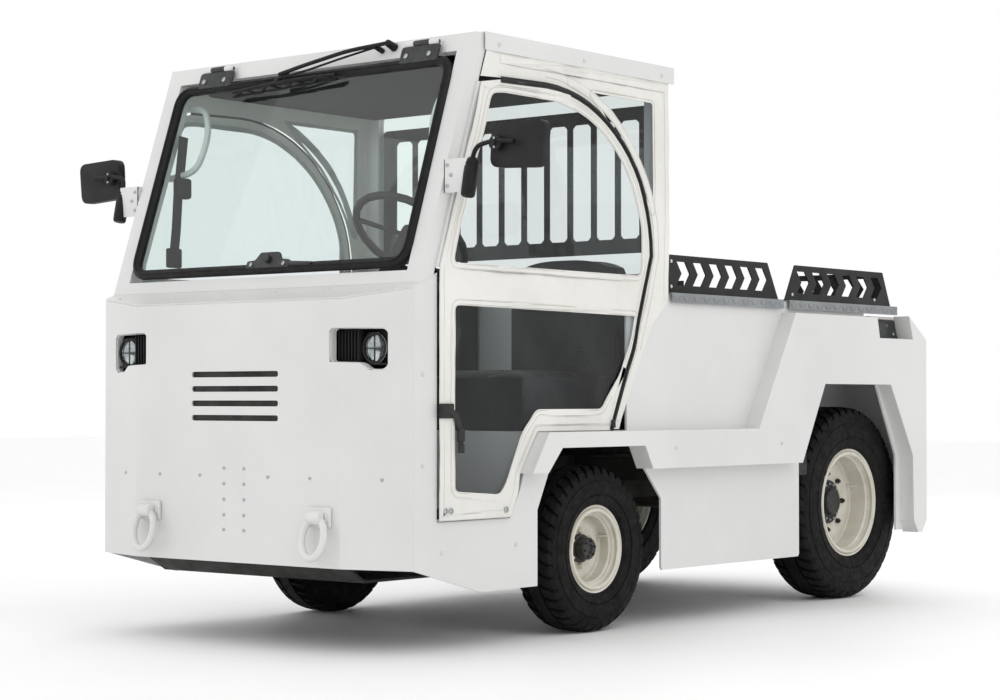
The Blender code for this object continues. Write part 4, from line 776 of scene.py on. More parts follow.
def cloth_panel(outlines, x, thickness, cell):
    """Cloth on the tug's left side: a fine grid cut to its outlines."""
    ys = [p[0] for p in outlines[0]]
    zs = [p[1] for p in outlines[0]]
    wide, tall = max(ys) - min(ys) + 0.02, max(zs) - min(zs) + 0.02
    bpy.ops.object.select_all(action="DESELECT")
    bpy.ops.mesh.primitive_grid_add(x_subdivisions=round(wide / cell), y_subdivisions=round(tall / cell),
                                    size=1)
    cloth = bpy.context.object
    cloth.data.transform(Matrix.Translation((x, (max(ys) + min(ys)) / 2, (max(zs) + min(zs)) / 2)) @ ON_SIDE
                         @ Matrix.Diagonal((wide, tall, 1, 1)))
    wall = cloth.modifiers.new("wall", "SOLIDIFY")
    wall.thickness = thickness
    wall.offset = 0.0
    bpy.ops.object.modifier_apply(modifier=wall.name)
    cutter = cut_sheet([spaced(o, 0.02) for o in outlines], 0.05, Matrix.Translation((x, 0, 0)) @ ON_SIDE)
    only(cloth)
    cut = cloth.modifiers.new("cut", "BOOLEAN")
    cut.operation = "INTERSECT"
    cut.object = cutter
    bpy.ops.object.modifier_apply(modifier=cut.name)
    bpy.data.objects.remove(cutter)
    bpy.ops.object.mode_set(mode="EDIT")
    bpy.ops.mesh.select_all(action="SELECT")
    bpy.ops.mesh.remove_doubles(threshold=0.0002)
    bpy.ops.object.mode_set(mode="OBJECT")
    return cloth


def band(line, width, closed=False, shift=0.0):
    """The outline of a strip of cloth along a line: one ring, or a ring and its hole."""
    path = spaced(line, 0.015, closed)
    near, far = [], []
    for index, point in enumerate(path):
        after = path[(index + 1) % len(path)] if closed or index + 1 < len(path) else point
        before = path[index - 1] if closed or index else point
        way = (after - before).normalized()
        across = Vector((-way.y, way.x))
        near.append(point + across * (shift + width / 2))
        far.append(point + across * (shift - width / 2))
    return [near, far] if closed else [near + far[::-1]]


def stitches(line, x, seed, out, pitch=0.008, closed=True):
    """Lock stitches along a line: one small thread loop modelled, then repeated."""
    bpy.ops.object.select_all(action="DESELECT")
    bpy.ops.mesh.primitive_cylinder_add(vertices=5, radius=0.0009, depth=pitch * 0.62)
    first = softened(bpy.context.object, 0.0004, 1)
    points = spaced(line, pitch, closed)
    sewn = bmesh.new()
    for start, end in zip(points, points[1:]):
        middle = (start + end) / 2
        place = Vector((x + out + drape(middle.x, middle.y, seed), middle.x, middle.y))
        copy = first.data.copy()
        copy.transform(Matrix.Translation(place) @ facing((0, end.x - start.x, end.y - start.y)))
        sewn.from_mesh(copy)
        bpy.data.meshes.remove(copy)
    sewn.to_mesh(first.data)
    sewn.free()
    return first


def on_both_sides(left, name, finish, body, smooth=40.0, takes=()):
    """Sets in a piece made for the left side, and its mirror image on the right."""
    set_pieces = []
    for side_name, side in SIDES:
        piece = left
        if side < 0:
            piece = bpy.data.objects.new(name, mirror_mesh)
            bpy.context.collection.objects.link(piece)
            piece.data.transform(Matrix.Diagonal((-1, 1, 1, 1)))
            piece.data.flip_normals()
        else:
            mirror_mesh = left.data.copy()
        set_pieces.append(set_in(piece, name.format(side_name), finish, body.format(side_name),
                                 smooth, [t.format(side_name) for t in takes]))
    return set_pieces


def area_of(outlines):
    """Flat area of a cut: its outline less its holes."""
    areas = []
    for outline in outlines:
        points = [Vector(p[:2]) for p in outline]
        areas.append(abs(sum(a.x * b.y - b.x * a.y for a, b in zip(points, points[1:] + points[:1]))) / 2)
    return areas[0] - sum(areas[1:])


# the front pillar leans with the screen from this place at the cab's waist, and is 60 mm deep
PILLAR_FOOT = (-0.917, 1.1006)


def pillar_back(z):
    """The pillar's rear edge at a height."""
    return PILLAR_FOOT[0] + (z - PILLAR_FOOT[1]) * math.tan(LEAN) + 0.060


def side_at(x):
    """Stands what is drawn as (Y, Z) on the tug's side, at a distance from its middle."""
    return Matrix.Translation((x, 0, 0)) @ ON_SIDE


door_edge = [(-0.841, 0.396), (-0.841, 1.125), (pillar_back(1.15), 1.150), (pillar_back(1.72), 1.720)]
door_edge += zip_line(0.002) + [(-0.379, 0.6563), (-0.462, 0.5256), (-0.470, 0.470), (-0.505, 0.396)]
upper_hole = round_corners([(-0.777, 1.165), (-0.745, 1.290), (-0.598, 1.690), (-0.545, 1.697)]
                           + zip_line(0.045)[2:16] + [(0.180, 1.200), (0.169, 1.165)], 0.02, 3)
lower_hole = round_corners([(-0.772, 0.482), (-0.560, 0.467), (-0.530, 0.500), (-0.452, 0.655),
                            (-0.385, 0.726), (-0.047, 0.726), (0.060, 0.840), (0.124, 0.968), (0.152, 1.030),
                            (-0.772, 1.038)], 0.02, 3)
# canvas is 1.6 mm thick, a doubled hem 1.4 mm more, and a window 1.0 mm
CANVAS_THICK, HEM_THICK, VINYL_THICK = 0.0016, 0.0014, 0.0010
DOOR_CLOTH = 0.6845
door_cut = [door_edge, upper_hole, lower_hole]
door = hang(cloth_panel(door_cut, DOOR_CLOTH, CANVAS_THICK, 0.014), 1.0, 0.0005, -0.0006)
doors = on_both_sides(door, "{}_door_cloth", canvas, "{}_door", 60, ("{}_door",))

hems = []
for ring, width, grow in ((door_edge, 0.022, -0.0125), (upper_hole, 0.020, 0.0105),
                          (lower_hole, 0.020, 0.0105)):
    # the hem lies inside the cut's edge, and a window's welt outside its hole
    near, far = band(ring, width, True)
    turn = 1 if area_of([near]) > area_of([far]) else -1
    big, small = sorted(band(ring, width, True, turn * grow), key=lambda o: -area_of([o]))
    hems.append(hang(cut_sheet([big, small], HEM_THICK, side_at(DOOR_CLOTH)), 1.0, 0.0020, -0.0006))
door_hems = on_both_sides(joined(hems), "{}_door_hems", canvas, "{}_door", 40)

sewn_lines = []
for ring, inset in ((door_edge, -0.018), (upper_hole, 0.004), (upper_hole, 0.017), (lower_hole, 0.004),
                    (lower_hole, 0.017)):
    # a stitch line is the edge of a band as wide as twice its distance from the cut
    rings = sorted(band(ring, abs(inset) * 2, True), key=lambda o: area_of([o]))
    sewn_lines.append(stitches(rings[0] if inset < 0 else rings[1], DOOR_CLOTH, 1.0, 0.0030))
on_both_sides(joined(sewn_lines), "{}_door_stitches", thread, "{}_door", 40)

window_cut = [(-0.790, 0.455), (-0.555, 0.450), (-0.520, 0.475), (-0.440, 0.640), (-0.375, 0.706),
              (-0.035, 0.706), (0.065, 0.835), (0.112, 0.960), (0.165, 1.120)]
window_cut += zip_line(0.030)[1:17][::-1] + [(-0.560, 1.710), (-0.625, 1.700), (-0.795, 1.160)]
DOOR_VINYL = 0.6815
pane = hang(cloth_panel([window_cut], DOOR_VINYL, VINYL_THICK, 0.020), 1.0, -0.0002)
vinyls = on_both_sides(pane, "{}_door_vinyl", clear_vinyl, "{}_door", 60, ("{}_door_window",))


curtain_edge = [(pillar_back(1.73) + 0.002, 1.738)] + [(y + 0.004, z + 0.004) for y, z in zip_line(-0.001)]
curtain_edge += [(0.060, 0.660), (0.250, 1.010), (0.345, 1.080), (0.345, 1.865), (pillar_back(1.865), 1.865)]
quarter_hole = round_corners([(-0.095, 1.745), (-0.020, 1.680), (0.080, 1.600), (0.170, 1.490),
                              (0.250, 1.370), (0.252, 1.745)], 0.012, 3)
curtain_cut = [curtain_edge, quarter_hole]
CURTAIN_CLOTH = 0.6775
curtain = hang(cloth_panel(curtain_cut, CURTAIN_CLOTH, CANVAS_THICK, 0.014), 3.0, 0.0, -0.0010)
curtains = on_both_sides(curtain, "quarter_curtain_cloth_{}", canvas, "chassis", 60,
                         ("quarter_curtain_{}",))
big = max(band(quarter_hole, 0.020, True), key=lambda o: area_of([o]))
welts = [cut_sheet([big, quarter_hole], HEM_THICK, side_at(CURTAIN_CLOTH))]
# the canvas is doubled in a broad band behind the zip, and hemmed along the roof and the rear post
for line, width in ((zip_line(-0.038)[3:-1], 0.030), ([(-0.55, 1.800), (0.330, 1.800)], 0.026),
                    ([(0.330, 1.800), (0.330, 1.090)], 0.022), ([(0.048, 0.690), (0.222, 1.000)], 0.024)):
    welts.append(cut_sheet(band(line, width), HEM_THICK, side_at(CURTAIN_CLOTH)))
welts = [hang(w, 3.0, 0.0018, -0.0010) for w in welts]
curtain_welts = on_both_sides(joined(welts), "quarter_curtain_welts_{}", canvas, "chassis", 40)
seam = max(band(quarter_hole, 0.016, True), key=lambda o: area_of([o]))
sewn = [stitches(seam, CURTAIN_CLOTH, 3.0, 0.0030)]
sewn += [stitches(zip_line(offset)[1:-1], CURTAIN_CLOTH, 3.0, 0.0030, 0.010, False)
         for offset in (-0.026, -0.050)]
on_both_sides(joined(sewn), "quarter_curtain_stitches_{}", thread, "chassis", 40)
quarter_pane = [(-0.125, 1.757), (-0.032, 1.668), (0.068, 1.588), (0.158, 1.480), (0.240, 1.352),
                (0.264, 1.350), (0.264, 1.757)]
QUARTER_VINYL = 0.6745
pane = cloth_panel([quarter_pane], QUARTER_VINYL, VINYL_THICK, 0.020)
quarter_vinyls = on_both_sides(pane, "quarter_vinyl_{}", clear_vinyl, "chassis", 60,
                               ("quarter_window_{}",))

# zip: a black tape on the door's edge with its coil, and the slider at its foot
zip_track = zip_line(0.002)
tape = hang(cut_sheet(band(zip_track, 0.019), HEM_THICK, side_at(DOOR_CLOTH)), 1.0, 0.0032, -0.0006)
coil = bent_tube([(DOOR_CLOTH + 0.0055 + max(-0.0006, drape(p.x, p.y, 1.0)), p.x, p.y)
                  for p in spaced(zip_track, 0.015, False)], 0.0024, rings=1)
slider = block_between((DOOR_CLOTH + 0.004, 0.004, 0.664), (DOOR_CLOTH + 0.012, 0.022, 0.690), 0.003)
on_both_sides(joined([tape, coil, slider]), "{}_door_zip", zip_tape, "{}_door", 40)

# a black webbing sleeve wraps the door's front edge, with its strap and buckle
strap_x = DOOR_CLOTH + 0.006
strap_line = [(-0.838, 0.722), (-0.800, 0.722), (-0.776, 0.708), (-0.760, 0.672), (-0.752, 0.612)]
strap = cut_sheet(band(strap_line, 0.022), 0.0030, side_at(strap_x + 0.003), 0.0008)
sleeve = block_between((DOOR_CLOTH - 0.002, -0.845, 0.700), (strap_x + 0.003, -0.782, 0.744), 0.003)
buckle = block_between((strap_x + 0.001, -0.772, 0.630), (strap_x + 0.010, -0.740, 0.668), 0.004)
tongue = block_between((strap_x + 0.001, -0.766, 0.596), (strap_x + 0.008, -0.740, 0.622), 0.003)
on_both_sides(joined([strap, sleeve, buckle, tongue]), "{}_door_strap", zip_tape, "{}_door",
              40)
# zinc-plated rings line the holes for the turn buttons at its foot
bpy.ops.object.select_all(action="DESELECT")
bpy.ops.mesh.primitive_torus_add(major_radius=0.0075, minor_radius=0.0024, major_segments=20,
                                 minor_segments=8)
grommets = copies_at(bpy.context.object, [(DOOR_CLOTH + 0.0030, y, z) for y, z in (
    (-0.815, 0.425), (-0.790, 0.425), (-0.530, 0.420))], (1, 0, 0))
on_both_sides(grommets, "{}_door_grommets", zinc, "{}_door", 40)


# ---- Rear guard ----
# A laser-cut steel plate with upright slots, bolted on behind the rear glass and powder-coated black
# as the cargo rails are.
powder_black, tree, shader = finish_named("black_powder_coat", "#131314", 0.42)
shader.inputs["Specular IOR Level"].default_value = 0.26
between(tree, grain(tree, 0.10, 4.0), 0.34, 0.52, shader.inputs["Roughness"])
# fine texture of the powder: 2 mm grains, 0.06 mm high
raised(tree, shader, grain(tree, 0.002, 1.0), 0.00006)
coat(["rear_guard"], powder_black)
guard_low, guard_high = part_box("rear_guard")
guard_bolts = [(x, guard_high.y - AXLE_Y, z) for x in (0.590, -0.590)
               for z in (guard_low.z + 0.022, guard_high.z - 0.025)]
set_in(copies_at(button_screw(0.0080), guard_bolts, (0, 1, 0)), "rear_guard_bolts", zinc)


# ---- Cab interior ----
# Black foam headliner, ABS dash and instrument pod, ribbed rubber floor mat, white grab handles
# beside the screen and a polyester belt with its reel on each rear pillar.
cab_plastic, tree, shader = finish_named("black_moulded_plastic", "#1B1B1C", 0.58)
shader.inputs["Specular IOR Level"].default_value = 0.30
between(tree, grain(tree, 0.08, 4.0), 0.50, 0.66, shader.inputs["Roughness"])
# moulded leather grain, drawn at 6 mm so that it shows, 0.12 mm deep
cells = node(tree, "TexVoronoi", {"Scale": 1 / 0.006}, {"Vector": node(tree, "TexCoord").outputs["Object"]})
raised(tree, shader, cells.outputs["Distance"], 0.00012)
coat(["dashboard", "steering_wheel"], cab_plastic)

headliner_foam, tree, shader = finish_named("black_headliner_foam", "#1D1E1E", 0.95)
shader.inputs["Specular IOR Level"].default_value = 0.15
between(tree, grain(tree, 0.05, 3.0), "#1A1B1B", "#232424", shader.inputs["Base Color"])
# foam cells of the skin, drawn at 8 mm so that they show, 0.2 mm deep
raised(tree, shader, grain(tree, 0.008, 2.0), 0.0002)
liner = block_between((-0.620, -0.545, 1.792), (0.620, 0.300, 1.812), 0.006)
set_in(liner, "headliner", headliner_foam)

mat_rubber, tree, shader = finish_named("ribbed_black_floor_mat", "#191919", 0.80)
ribs = node(tree, "TexWave", {"wave_type": "BANDS", "bands_direction": "X", "Scale": 1 / 0.010 / 6.283},
            {"Vector": node(tree, "TexCoord").outputs["Object"]}).outputs["Fac"]
# ribs 10 mm apart and 1.5 mm high
raised(tree, shader, ribs, 0.0015)
mat = block_between((-0.640, -0.900, 0.4005), (0.640, -0.425, 0.408), 0.003)
set_in(mat, "floor_mat", mat_rubber)

for name, side in SIDES[::-1]:
    handle = bent_tube([(side * x, y, z) for x, y, z in (
        (0.640, -0.625, 1.745), (0.540, -0.628, 1.738), (0.500, -0.655, 1.640), (0.520, -0.690, 1.520),
        (0.640, -0.700, 1.500))], 0.0110, bend=0.05)
    set_in(handle, f"grab_handle_{name}", powder_white)

belt_line = [(-0.690, 1.640), (-0.700, 1.560), (-0.715, 1.440), (-0.722, 1.330), (-0.735, 1.215)]
for name, side in SIDES[::-1]:
    belt_x = side * 0.585
    webbing = cut_sheet(band(belt_line, 0.040), 0.0030, side_at(belt_x), 0.0008)
    reel = block_between((belt_x - 0.018, -0.725, 1.430), (belt_x + 0.018, -0.665, 1.500), 0.010)
    tongue = block_between((belt_x - 0.007, -0.765, 1.196), (belt_x + 0.007, -0.700, 1.262), 0.006)
    set_in(joined([webbing, reel, tongue]), f"belt_{name}", zip_tape)

# instrument pod ahead of the steering wheel
pod = block_between((0.180, -0.800, 1.060), (0.460, -0.715, 1.120), 0.012)
set_in(pod, "instrument_pod", cab_plastic)


# ---- Seats ----
# Foam under black vinyl, sewn in three panels with piped seams: crowned on top, its sides drawn in
# between the corners, and flat where it stands on the seat deck.
seat_vinyl, tree, shader = finish_named("black_seat_vinyl", "#1E1F21", 0.48)
shader.inputs["Specular IOR Level"].default_value = 0.35
between(tree, grain(tree, 0.05, 4.0), 0.40, 0.58, shader.inputs["Roughness"])
cells = node(tree, "TexVoronoi", {"Scale": 1 / 0.008}, {"Vector": node(tree, "TexCoord").outputs["Object"]})
# vinyl grain drawn at 8 mm so that it shows, 0.15 mm deep
raised(tree, shader, cells.outputs["Distance"], 0.00015)


def stuffed(low, high, crown, thin, panels):
    """A cushion between two corners: its thin axis is crowned, its other sides pulled in."""
    low, high = Vector(low), Vector(high)
    middle, half = (low + high) / 2, (high - low) / 2
    bpy.ops.object.select_all(action="DESELECT")
    bpy.ops.mesh.primitive_cube_add(size=2, location=middle, scale=half)
    made = bpy.context.object
    bpy.ops.object.transform_apply(location=True, rotation=True, scale=True)
    bpy.ops.object.mode_set(mode="EDIT")
    bpy.ops.mesh.select_all(action="SELECT")
    bpy.ops.mesh.subdivide(number_cuts=23)
    bpy.ops.object.mode_set(mode="OBJECT")
    flat = [axis for axis in range(3) if axis != thin]
    for vert in made.data.vertices:
        share = Vector([(vert.co[i] - middle[i]) / half[i] for i in range(3)])
        bulge = 1.0
        for axis in flat:
            bulge *= 1 - abs(share[axis]) ** 3.5
        if share[thin] > -0.3:
            # rounded shoulders, the crown, and the sewn channels between the panels
            seam = min(abs(share.x - (2 * i / panels - 1)) for i in range(1, panels))
            channel = 0.009 * math.exp(-(seam / 0.035) ** 2) * max(0.0, share[thin])
            fold = 0.0022 * noise.noise(Vector((vert.co.x * 14, vert.co.y * 14, vert.co.z * 14)))
            drop = 0.020 * max(0.0, share[thin]) * max(abs(share[a]) for a in flat) ** 8
            sign = -1 if thin == 1 else 1
            vert.co[thin] += sign * (crown * max(0.0, sign * share[thin]) * bulge) if thin == 1 else (
                max(0.0, share[thin]) * (crown * bulge - channel - drop) + fold * bulge)
            if thin == 1:
                front = max(0.0, -share.y)
                vert.co.y += front * (0.009 * math.exp(-(seam / 0.035) ** 2)
                                      + 0.018 * max(abs(share[a]) for a in flat) ** 8)
        for axis in flat:
            along = [a for a in range(3) if a != axis]
            slack_near = [1 - min(1.0, abs(share[a])) ** 2 for a in along]
            pull = 0.010 * slack_near[0] * slack_near[1]
            vert.co[axis] -= math.copysign(pull, share[axis]) * abs(share[axis]) ** 6
    softened(made, 0.012, 3, 50)
    smooth = made.modifiers.new("smooth", "SUBSURF")
    smooth.levels = smooth.render_levels = 1
    only(made)
    bpy.ops.object.modifier_apply(modifier=smooth.name)
    return made


for owner in ("driver", "passenger"):
    for part, thin, crown in (("cushion", 2, 0.006), ("back", 1, 0.010)):
        low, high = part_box(f"{owner}_seat_{part}")
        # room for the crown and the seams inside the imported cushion's box
        front_gap, top_gap = (0.012, 0.004) if part == "back" else (0.008, 0.010)
        low = Vector((low.x + 0.004, low.y - AXLE_Y + front_gap, low.z + 0.0005))
        high = Vector((high.x - 0.004, high.y - AXLE_Y - 0.004, high.z - top_gap))
        pad = stuffed(low, high, crown, thin, 3)
        if part == "back":
            # the back narrows to a rounded top over its last 160 mm
            centre_x, half_x = 0.5 * (low.x + high.x), 0.5 * (high.x - low.x)
            for vert in pad.data.vertices:
                up = max(0.0, (vert.co.z - (high.z - 0.16)) / 0.16)
                vert.co.x += (centre_x - vert.co.x) * 0.16 * up ** 2
                side_share = abs(vert.co.x - centre_x) / half_x
                vert.co.z -= 0.050 * up * side_share ** 3
        set_in(pad, f"{owner}_seat_{part}_pad", seat_vinyl, smooth=60,
               takes=(f"{owner}_seat_{part}",))


# ---- Mirrors ----
# A folded bracket on each pillar carries a rubber canister, a bent steel arm, a round clamp and a
# moulded head with the glass set in its rear face.
mirror_glass, tree, shader = finish_named("silvered_mirror_glass", "#C9CFD2", 0.04, 1.0)
between(tree, grain(tree, 0.05, 2.0), 0.03, 0.07, shader.inputs["Roughness"])

# the bracket's foot and its middle's place on the leaning pillar; the arm rises from its outer end
mirror_z = 1.370
mirror_y = PILLAR_FOOT[0] + (mirror_z + 0.05 - PILLAR_FOOT[1]) * math.tan(LEAN)
knee = 0.765
bracket = joined([block_between((0.6755, mirror_y - 0.002, mirror_z),
                                (knee, mirror_y + 0.004, mirror_z + 0.100), 0.0015),
                  block_between((0.6755, mirror_y - 0.002, mirror_z),
                                (0.6815, mirror_y + 0.040, mirror_z + 0.100), 0.0015)])
on_both_sides(bracket, "mirror_bracket_{}", powder_white, "chassis", 35, ("mirror_{}",))
bolts = copies_at(button_screw(0.0058), [(0.690, mirror_y - 0.002, mirror_z + up) for up in (0.020, 0.082)]
                  + [(0.705, mirror_y - 0.002, mirror_z + 0.052)], (0, -1, 0))
on_both_sides(bolts, "mirror_bracket_screws_{}", zinc, "chassis", 35)
canister = turned([(-0.060, 0.0), (-0.060, 0.017), (-0.057, 0.0205), (-0.048, 0.022), (-0.046, 0.0205),
                   (-0.043, 0.022), (0.030, 0.0225), (0.034, 0.0205), (0.037, 0.0225), (0.048, 0.0215),
                   (0.055, 0.016), (0.060, 0.010), (0.060, 0.0)], 32)
canister.data.transform(Matrix.Translation((knee + 0.004, mirror_y + 0.010, mirror_z + 0.043))
                        @ Matrix.Rotation(math.radians(-12), 4, "X")
                        @ Matrix.Rotation(math.radians(-90), 4, "Y"))
arm = bent_tube([(knee + 0.005, mirror_y + 0.015, mirror_z + 0.090),
                 (knee + 0.013, mirror_y + 0.026, mirror_z + 0.135),
                 (knee + 0.080, mirror_y + 0.024, mirror_z + 0.147),
                 (knee + 0.160, mirror_y + 0.022, mirror_z + 0.139)],
                0.0072, bend=0.030)
on_both_sides(joined([canister, arm]), "mirror_arm_{}", seal_rubber, "chassis", 40)
head_middle = Vector((0.922, mirror_y + 0.056, mirror_z + 0.132))
head_outline = round_corners([(-0.104, -0.062), (0.090, -0.072), (0.104, 0.066), (-0.096, 0.074)], 0.032, 8)
head = cut_sheet([head_outline], 0.030, Matrix.Translation(head_middle) @ UPRIGHT)
bpy.ops.object.mode_set(mode="EDIT")
shell = bmesh.from_edit_mesh(head.data)
for face in shell.faces:
    face.select_set(face.normal.y < -0.9)
bpy.ops.mesh.inset(thickness=0.010)
bpy.ops.transform.translate(value=(0, -0.006, 0))
bpy.ops.mesh.inset(thickness=0.016)
bpy.ops.transform.translate(value=(0, -0.003, 0))
for face in shell.faces:
    face.select_set(face.normal.y > 0.9)
bpy.ops.mesh.inset(thickness=0.006)
bpy.ops.mesh.extrude_region_move(TRANSFORM_OT_translate={"value": (0, -0.004, 0)})
bpy.ops.object.mode_set(mode="OBJECT")
softened(head, 0.0035, 3, 25)
on_both_sides(head, "mirror_head_{}", cab_plastic, "chassis", 50)
mirror_outline = round_corners([(-0.094, -0.052), (0.080, -0.061), (0.093, 0.056), (-0.086, 0.063)], 0.026, 8)
glass = cut_sheet([mirror_outline], 0.003,
                  Matrix.Translation(head_middle + Vector((0, 0.0138, 0))) @ UPRIGHT, 0.0006)
on_both_sides(glass, "mirror_glass_{}", mirror_glass, "chassis", 35)
clamp = turned([(-0.010, 0.0), (-0.010, 0.020), (-0.007, 0.023), (0.003, 0.023), (0.006, 0.020),
                (0.006, 0.008), (0.014, 0.007), (0.014, 0.0)], 32)
clamp.data.transform(Matrix.Translation(head_middle + Vector((-0.070, -0.031, 0.008)))
                     @ Matrix.Rotation(math.radians(-90), 4, "Z"))
on_both_sides(clamp, "mirror_clamp_{}", cab_plastic, "chassis", 35)
screws = copies_at(button_screw(0.0042),
                   [head_middle + Vector((-0.070, -0.0375, 0.008 + up)) for up in (0.013, -0.013)],
                   (0, -1, 0))
on_both_sides(screws, "mirror_clamp_screws_{}", zinc, "chassis", 35)


# ---- Headlamps ----
# Two round halogen units with pressed reflectors and fluted glass, in black moulded louvres on a
# steel bar behind the nose, whose plate is turned inwards round each window.
lamp_chrome, tree, shader = finish_named("vacuum_metallised_reflector", "#C4C6C8", 0.12, 1.0)
between(tree, grain(tree, 0.02, 2.0), 0.08, 0.18, shader.inputs["Roughness"])

lamp_glass, tree, mirror = clear_sheet("fluted_lamp_glass", "#F2F4F4", 0.08)
# flutes pressed in the glass 8 mm apart, 0.8 mm deep
flutes = node(tree, "TexWave", {"wave_type": "BANDS", "bands_direction": "X", "Scale": 1 / 0.008 / 6.283},
              {"Vector": node(tree, "TexCoord").outputs["Object"]}).outputs["Fac"]
flute_bump = node(tree, "Bump", {"Strength": 1.0, "Distance": 0.0008}, {"Height": flutes})
tree.links.new(flute_bump.outputs["Normal"], mirror.inputs["Normal"])

LAMP_X, LAMP_Z = 0.540, 0.908
lamp_window = [(-0.137, 0.868), (-0.030, 0.864), (0.000, 0.843), (0.045, 0.843), (0.059, 0.857),
               (0.059, 0.955), (0.047, 0.967), (-0.128, 0.969), (-0.137, 0.960)]
# the nose plate folds back from its flat middle, and the lamps sit behind the fold
fold_angle = math.atan2(CORNER_Y - nose_y, cab_x - NOSE_FLAT)
bar = block_between((-0.660, -0.944, 0.862), (0.660, -0.934, 0.958), 0.002)
louvres = []
for index in range(7):
    x = LAMP_X - 0.130 + index * 0.013
    louvres.append(block_between((x, -0.985, 0.868), (x + 0.004, -0.944, 0.962), 0.001))
shelves = [block_between((LAMP_X - 0.140, -0.966, z), (LAMP_X + 0.050, -0.944, z + 0.006), 0.001)
           for z in (0.964, 0.858)]
bucket = turned([(-0.002, 0.0), (-0.002, 0.043), (0.018, 0.047), (0.022, 0.047), (0.024, 0.044),
                 (0.022, 0.041), (0.012, 0.038), (0.002, 0.018), (0.000, 0.0)], 40)
facing_front = Matrix.Translation((LAMP_X, -0.9440, LAMP_Z)) @ Matrix.Rotation(math.radians(-90), 4, "Z")
bucket.data.transform(facing_front)
on_both_sides(joined(louvres + shelves), "headlamp_louvres_{}", cab_plastic, "chassis", 30)
on_both_sides(bucket, "headlamp_bowl_{}", lamp_chrome, "chassis", 40)
bezel = turned([(0.018, 0.046), (0.026, 0.047), (0.028, 0.044), (0.026, 0.040), (0.020, 0.039)], 40,
               closed=True)
spoke_up = block_between((0.020, -0.0015, -0.041), (0.025, 0.0015, 0.041), 0.0006)
spoke_across = block_between((0.020, -0.041, -0.0015), (0.025, 0.041, 0.0015), 0.0006)
bezel = joined([bezel, spoke_up, spoke_across])
bezel.data.transform(facing_front)
on_both_sides(bezel, "headlamp_bezel_{}", cab_plastic, "chassis", 40)
lens = turned([(0.018, 0.0), (0.018, 0.041), (0.020, 0.042), (0.024, 0.036), (0.0265, 0.020), (0.027, 0.0)],
              40)
lens.data.transform(facing_front)
on_both_sides(lens, "headlamp_lens_{}", lamp_glass, "chassis", 40)
set_in(bar, "headlamp_bar", chassis_black_and_slot_shade, takes=("headlamps",))
# the window's turned-in edge: a rim of plate behind the fold, following the window
outer = [(LAMP_X + x, z) for x, z in lamp_window]
inner = [(LAMP_X + (x + 0.039) * 0.965 - 0.039, LAMP_Z + (z - LAMP_Z) * 0.955) for x, z in lamp_window]
rim = cut_sheet([round_corners(outer, 0.010, 3), round_corners(inner, 0.010, 3)], 0.022, UPRIGHT)
for vert in rim.data.vertices:
    fold_y = nose_y + max(0.0, vert.co.x - NOSE_FLAT) * math.tan(fold_angle)
    vert.co.y += fold_y + 0.0173
on_both_sides(rim, "headlamp_window_rim_{}", powder_white, "chassis", 30)


# ---- Nose slots ----
# Four ventilation slots are cut in the nose plate; a black sheet stands behind them as painted shade
# for the nose's dark inside, so that they look dark.
# a black block just behind the nose plate: painted shade seen through the slots
slot_shade_sheet = block_between((-0.230, nose_y + 0.0075, 0.665), (0.230, nose_y + 0.0135, 0.865), 0.001)
set_in(slot_shade_sheet, "nose_slot_painted_shade", chassis_black_and_slot_shade)


# ---- Tow rings ----
# A welded clevis with a barrel and a forged bow hangs from each side of the nose, painted with it.
ring_low, ring_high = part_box("tow_ring_left")
ring_x = (ring_low.x + ring_high.x) / 2
eye_y = nose_y - 0.0243
base = block_between((ring_x - 0.045, nose_y - 0.0120, 0.375), (ring_x + 0.045, nose_y - 0.0002, 0.435),
                     0.004)
barrel = rod_between((ring_x - 0.026, eye_y, 0.405), (ring_x + 0.026, eye_y, 0.405), 0.0205, 28,
                     soft_edge=0.003)
weld_path = round_corners(oblong(ring_x - 0.030, 0.389, ring_x + 0.030, 0.421), 0.008, 3)
welds = bent_tube([(x, nose_y - 0.012, z) for x, z in weld_path], 0.004, closed=True, rings=1)
bow = []
for step in range(48):
    angle = math.radians(step * 7.5)
    bow.append((ring_x + 0.044 * math.cos(angle), eye_y - 0.012 * (1 - math.sin(angle)),
                0.345 + 0.060 * math.sin(angle)))
tow = joined([base, barrel, welds, bent_tube(bow, 0.0112, closed=True, rings=4)])
on_both_sides(tow, "tow_ring_white_{}", powder_white, "chassis", 45, ("tow_ring_{}",))


# ---- Rear hitch ----
# A welded steel jaw, bolted to the rear wall with six hexagon bolts, takes the drawbar's eye on a
# loose zinc-plated pin with a pull ring.
hitch_low, hitch_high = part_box("rear_hitch")
hitch_y = hitch_low.y - AXLE_Y
jaw_end = hitch_high.y - AXLE_Y
hitch = [block_between((-0.110, hitch_y, 0.330), (0.110, hitch_y + 0.016, 0.530), 0.004)]
for z in (0.372, 0.452):
    outline = round_corners(oblong(-0.055, hitch_y + 0.010, 0.055, jaw_end), 0.050, 8)
    hitch.append(cut_sheet([outline], 0.022, Matrix.Translation((0, 0, z + 0.011)), 0.003))
for x in (-0.055, 0.040):
    hitch.append(block_between((x, hitch_y + 0.012, 0.372), (x + 0.015, hitch_y + 0.050, 0.474), 0.003))
set_in(joined(hitch), "hitch_jaw_plates", chassis_black_and_slot_shade, takes=("rear_hitch",))
pin_y = jaw_end - 0.045
pull_ring = []
for step in range(24):
    angle = math.radians(15 * step)
    pull_ring.append((0.022 * math.cos(angle), pin_y, 0.520 + 0.022 * math.sin(angle)))
pin = [rod_between((0, pin_y, 0.355), (0, pin_y, 0.500), 0.014, 24, soft_edge=0.003),
       rod_between((0, pin_y, 0.484), (0, pin_y, 0.492), 0.024, 24, soft_edge=0.002),
       bent_tube(pull_ring, 0.004, closed=True)]
set_in(joined(pin), "hitch_pin", zinc)
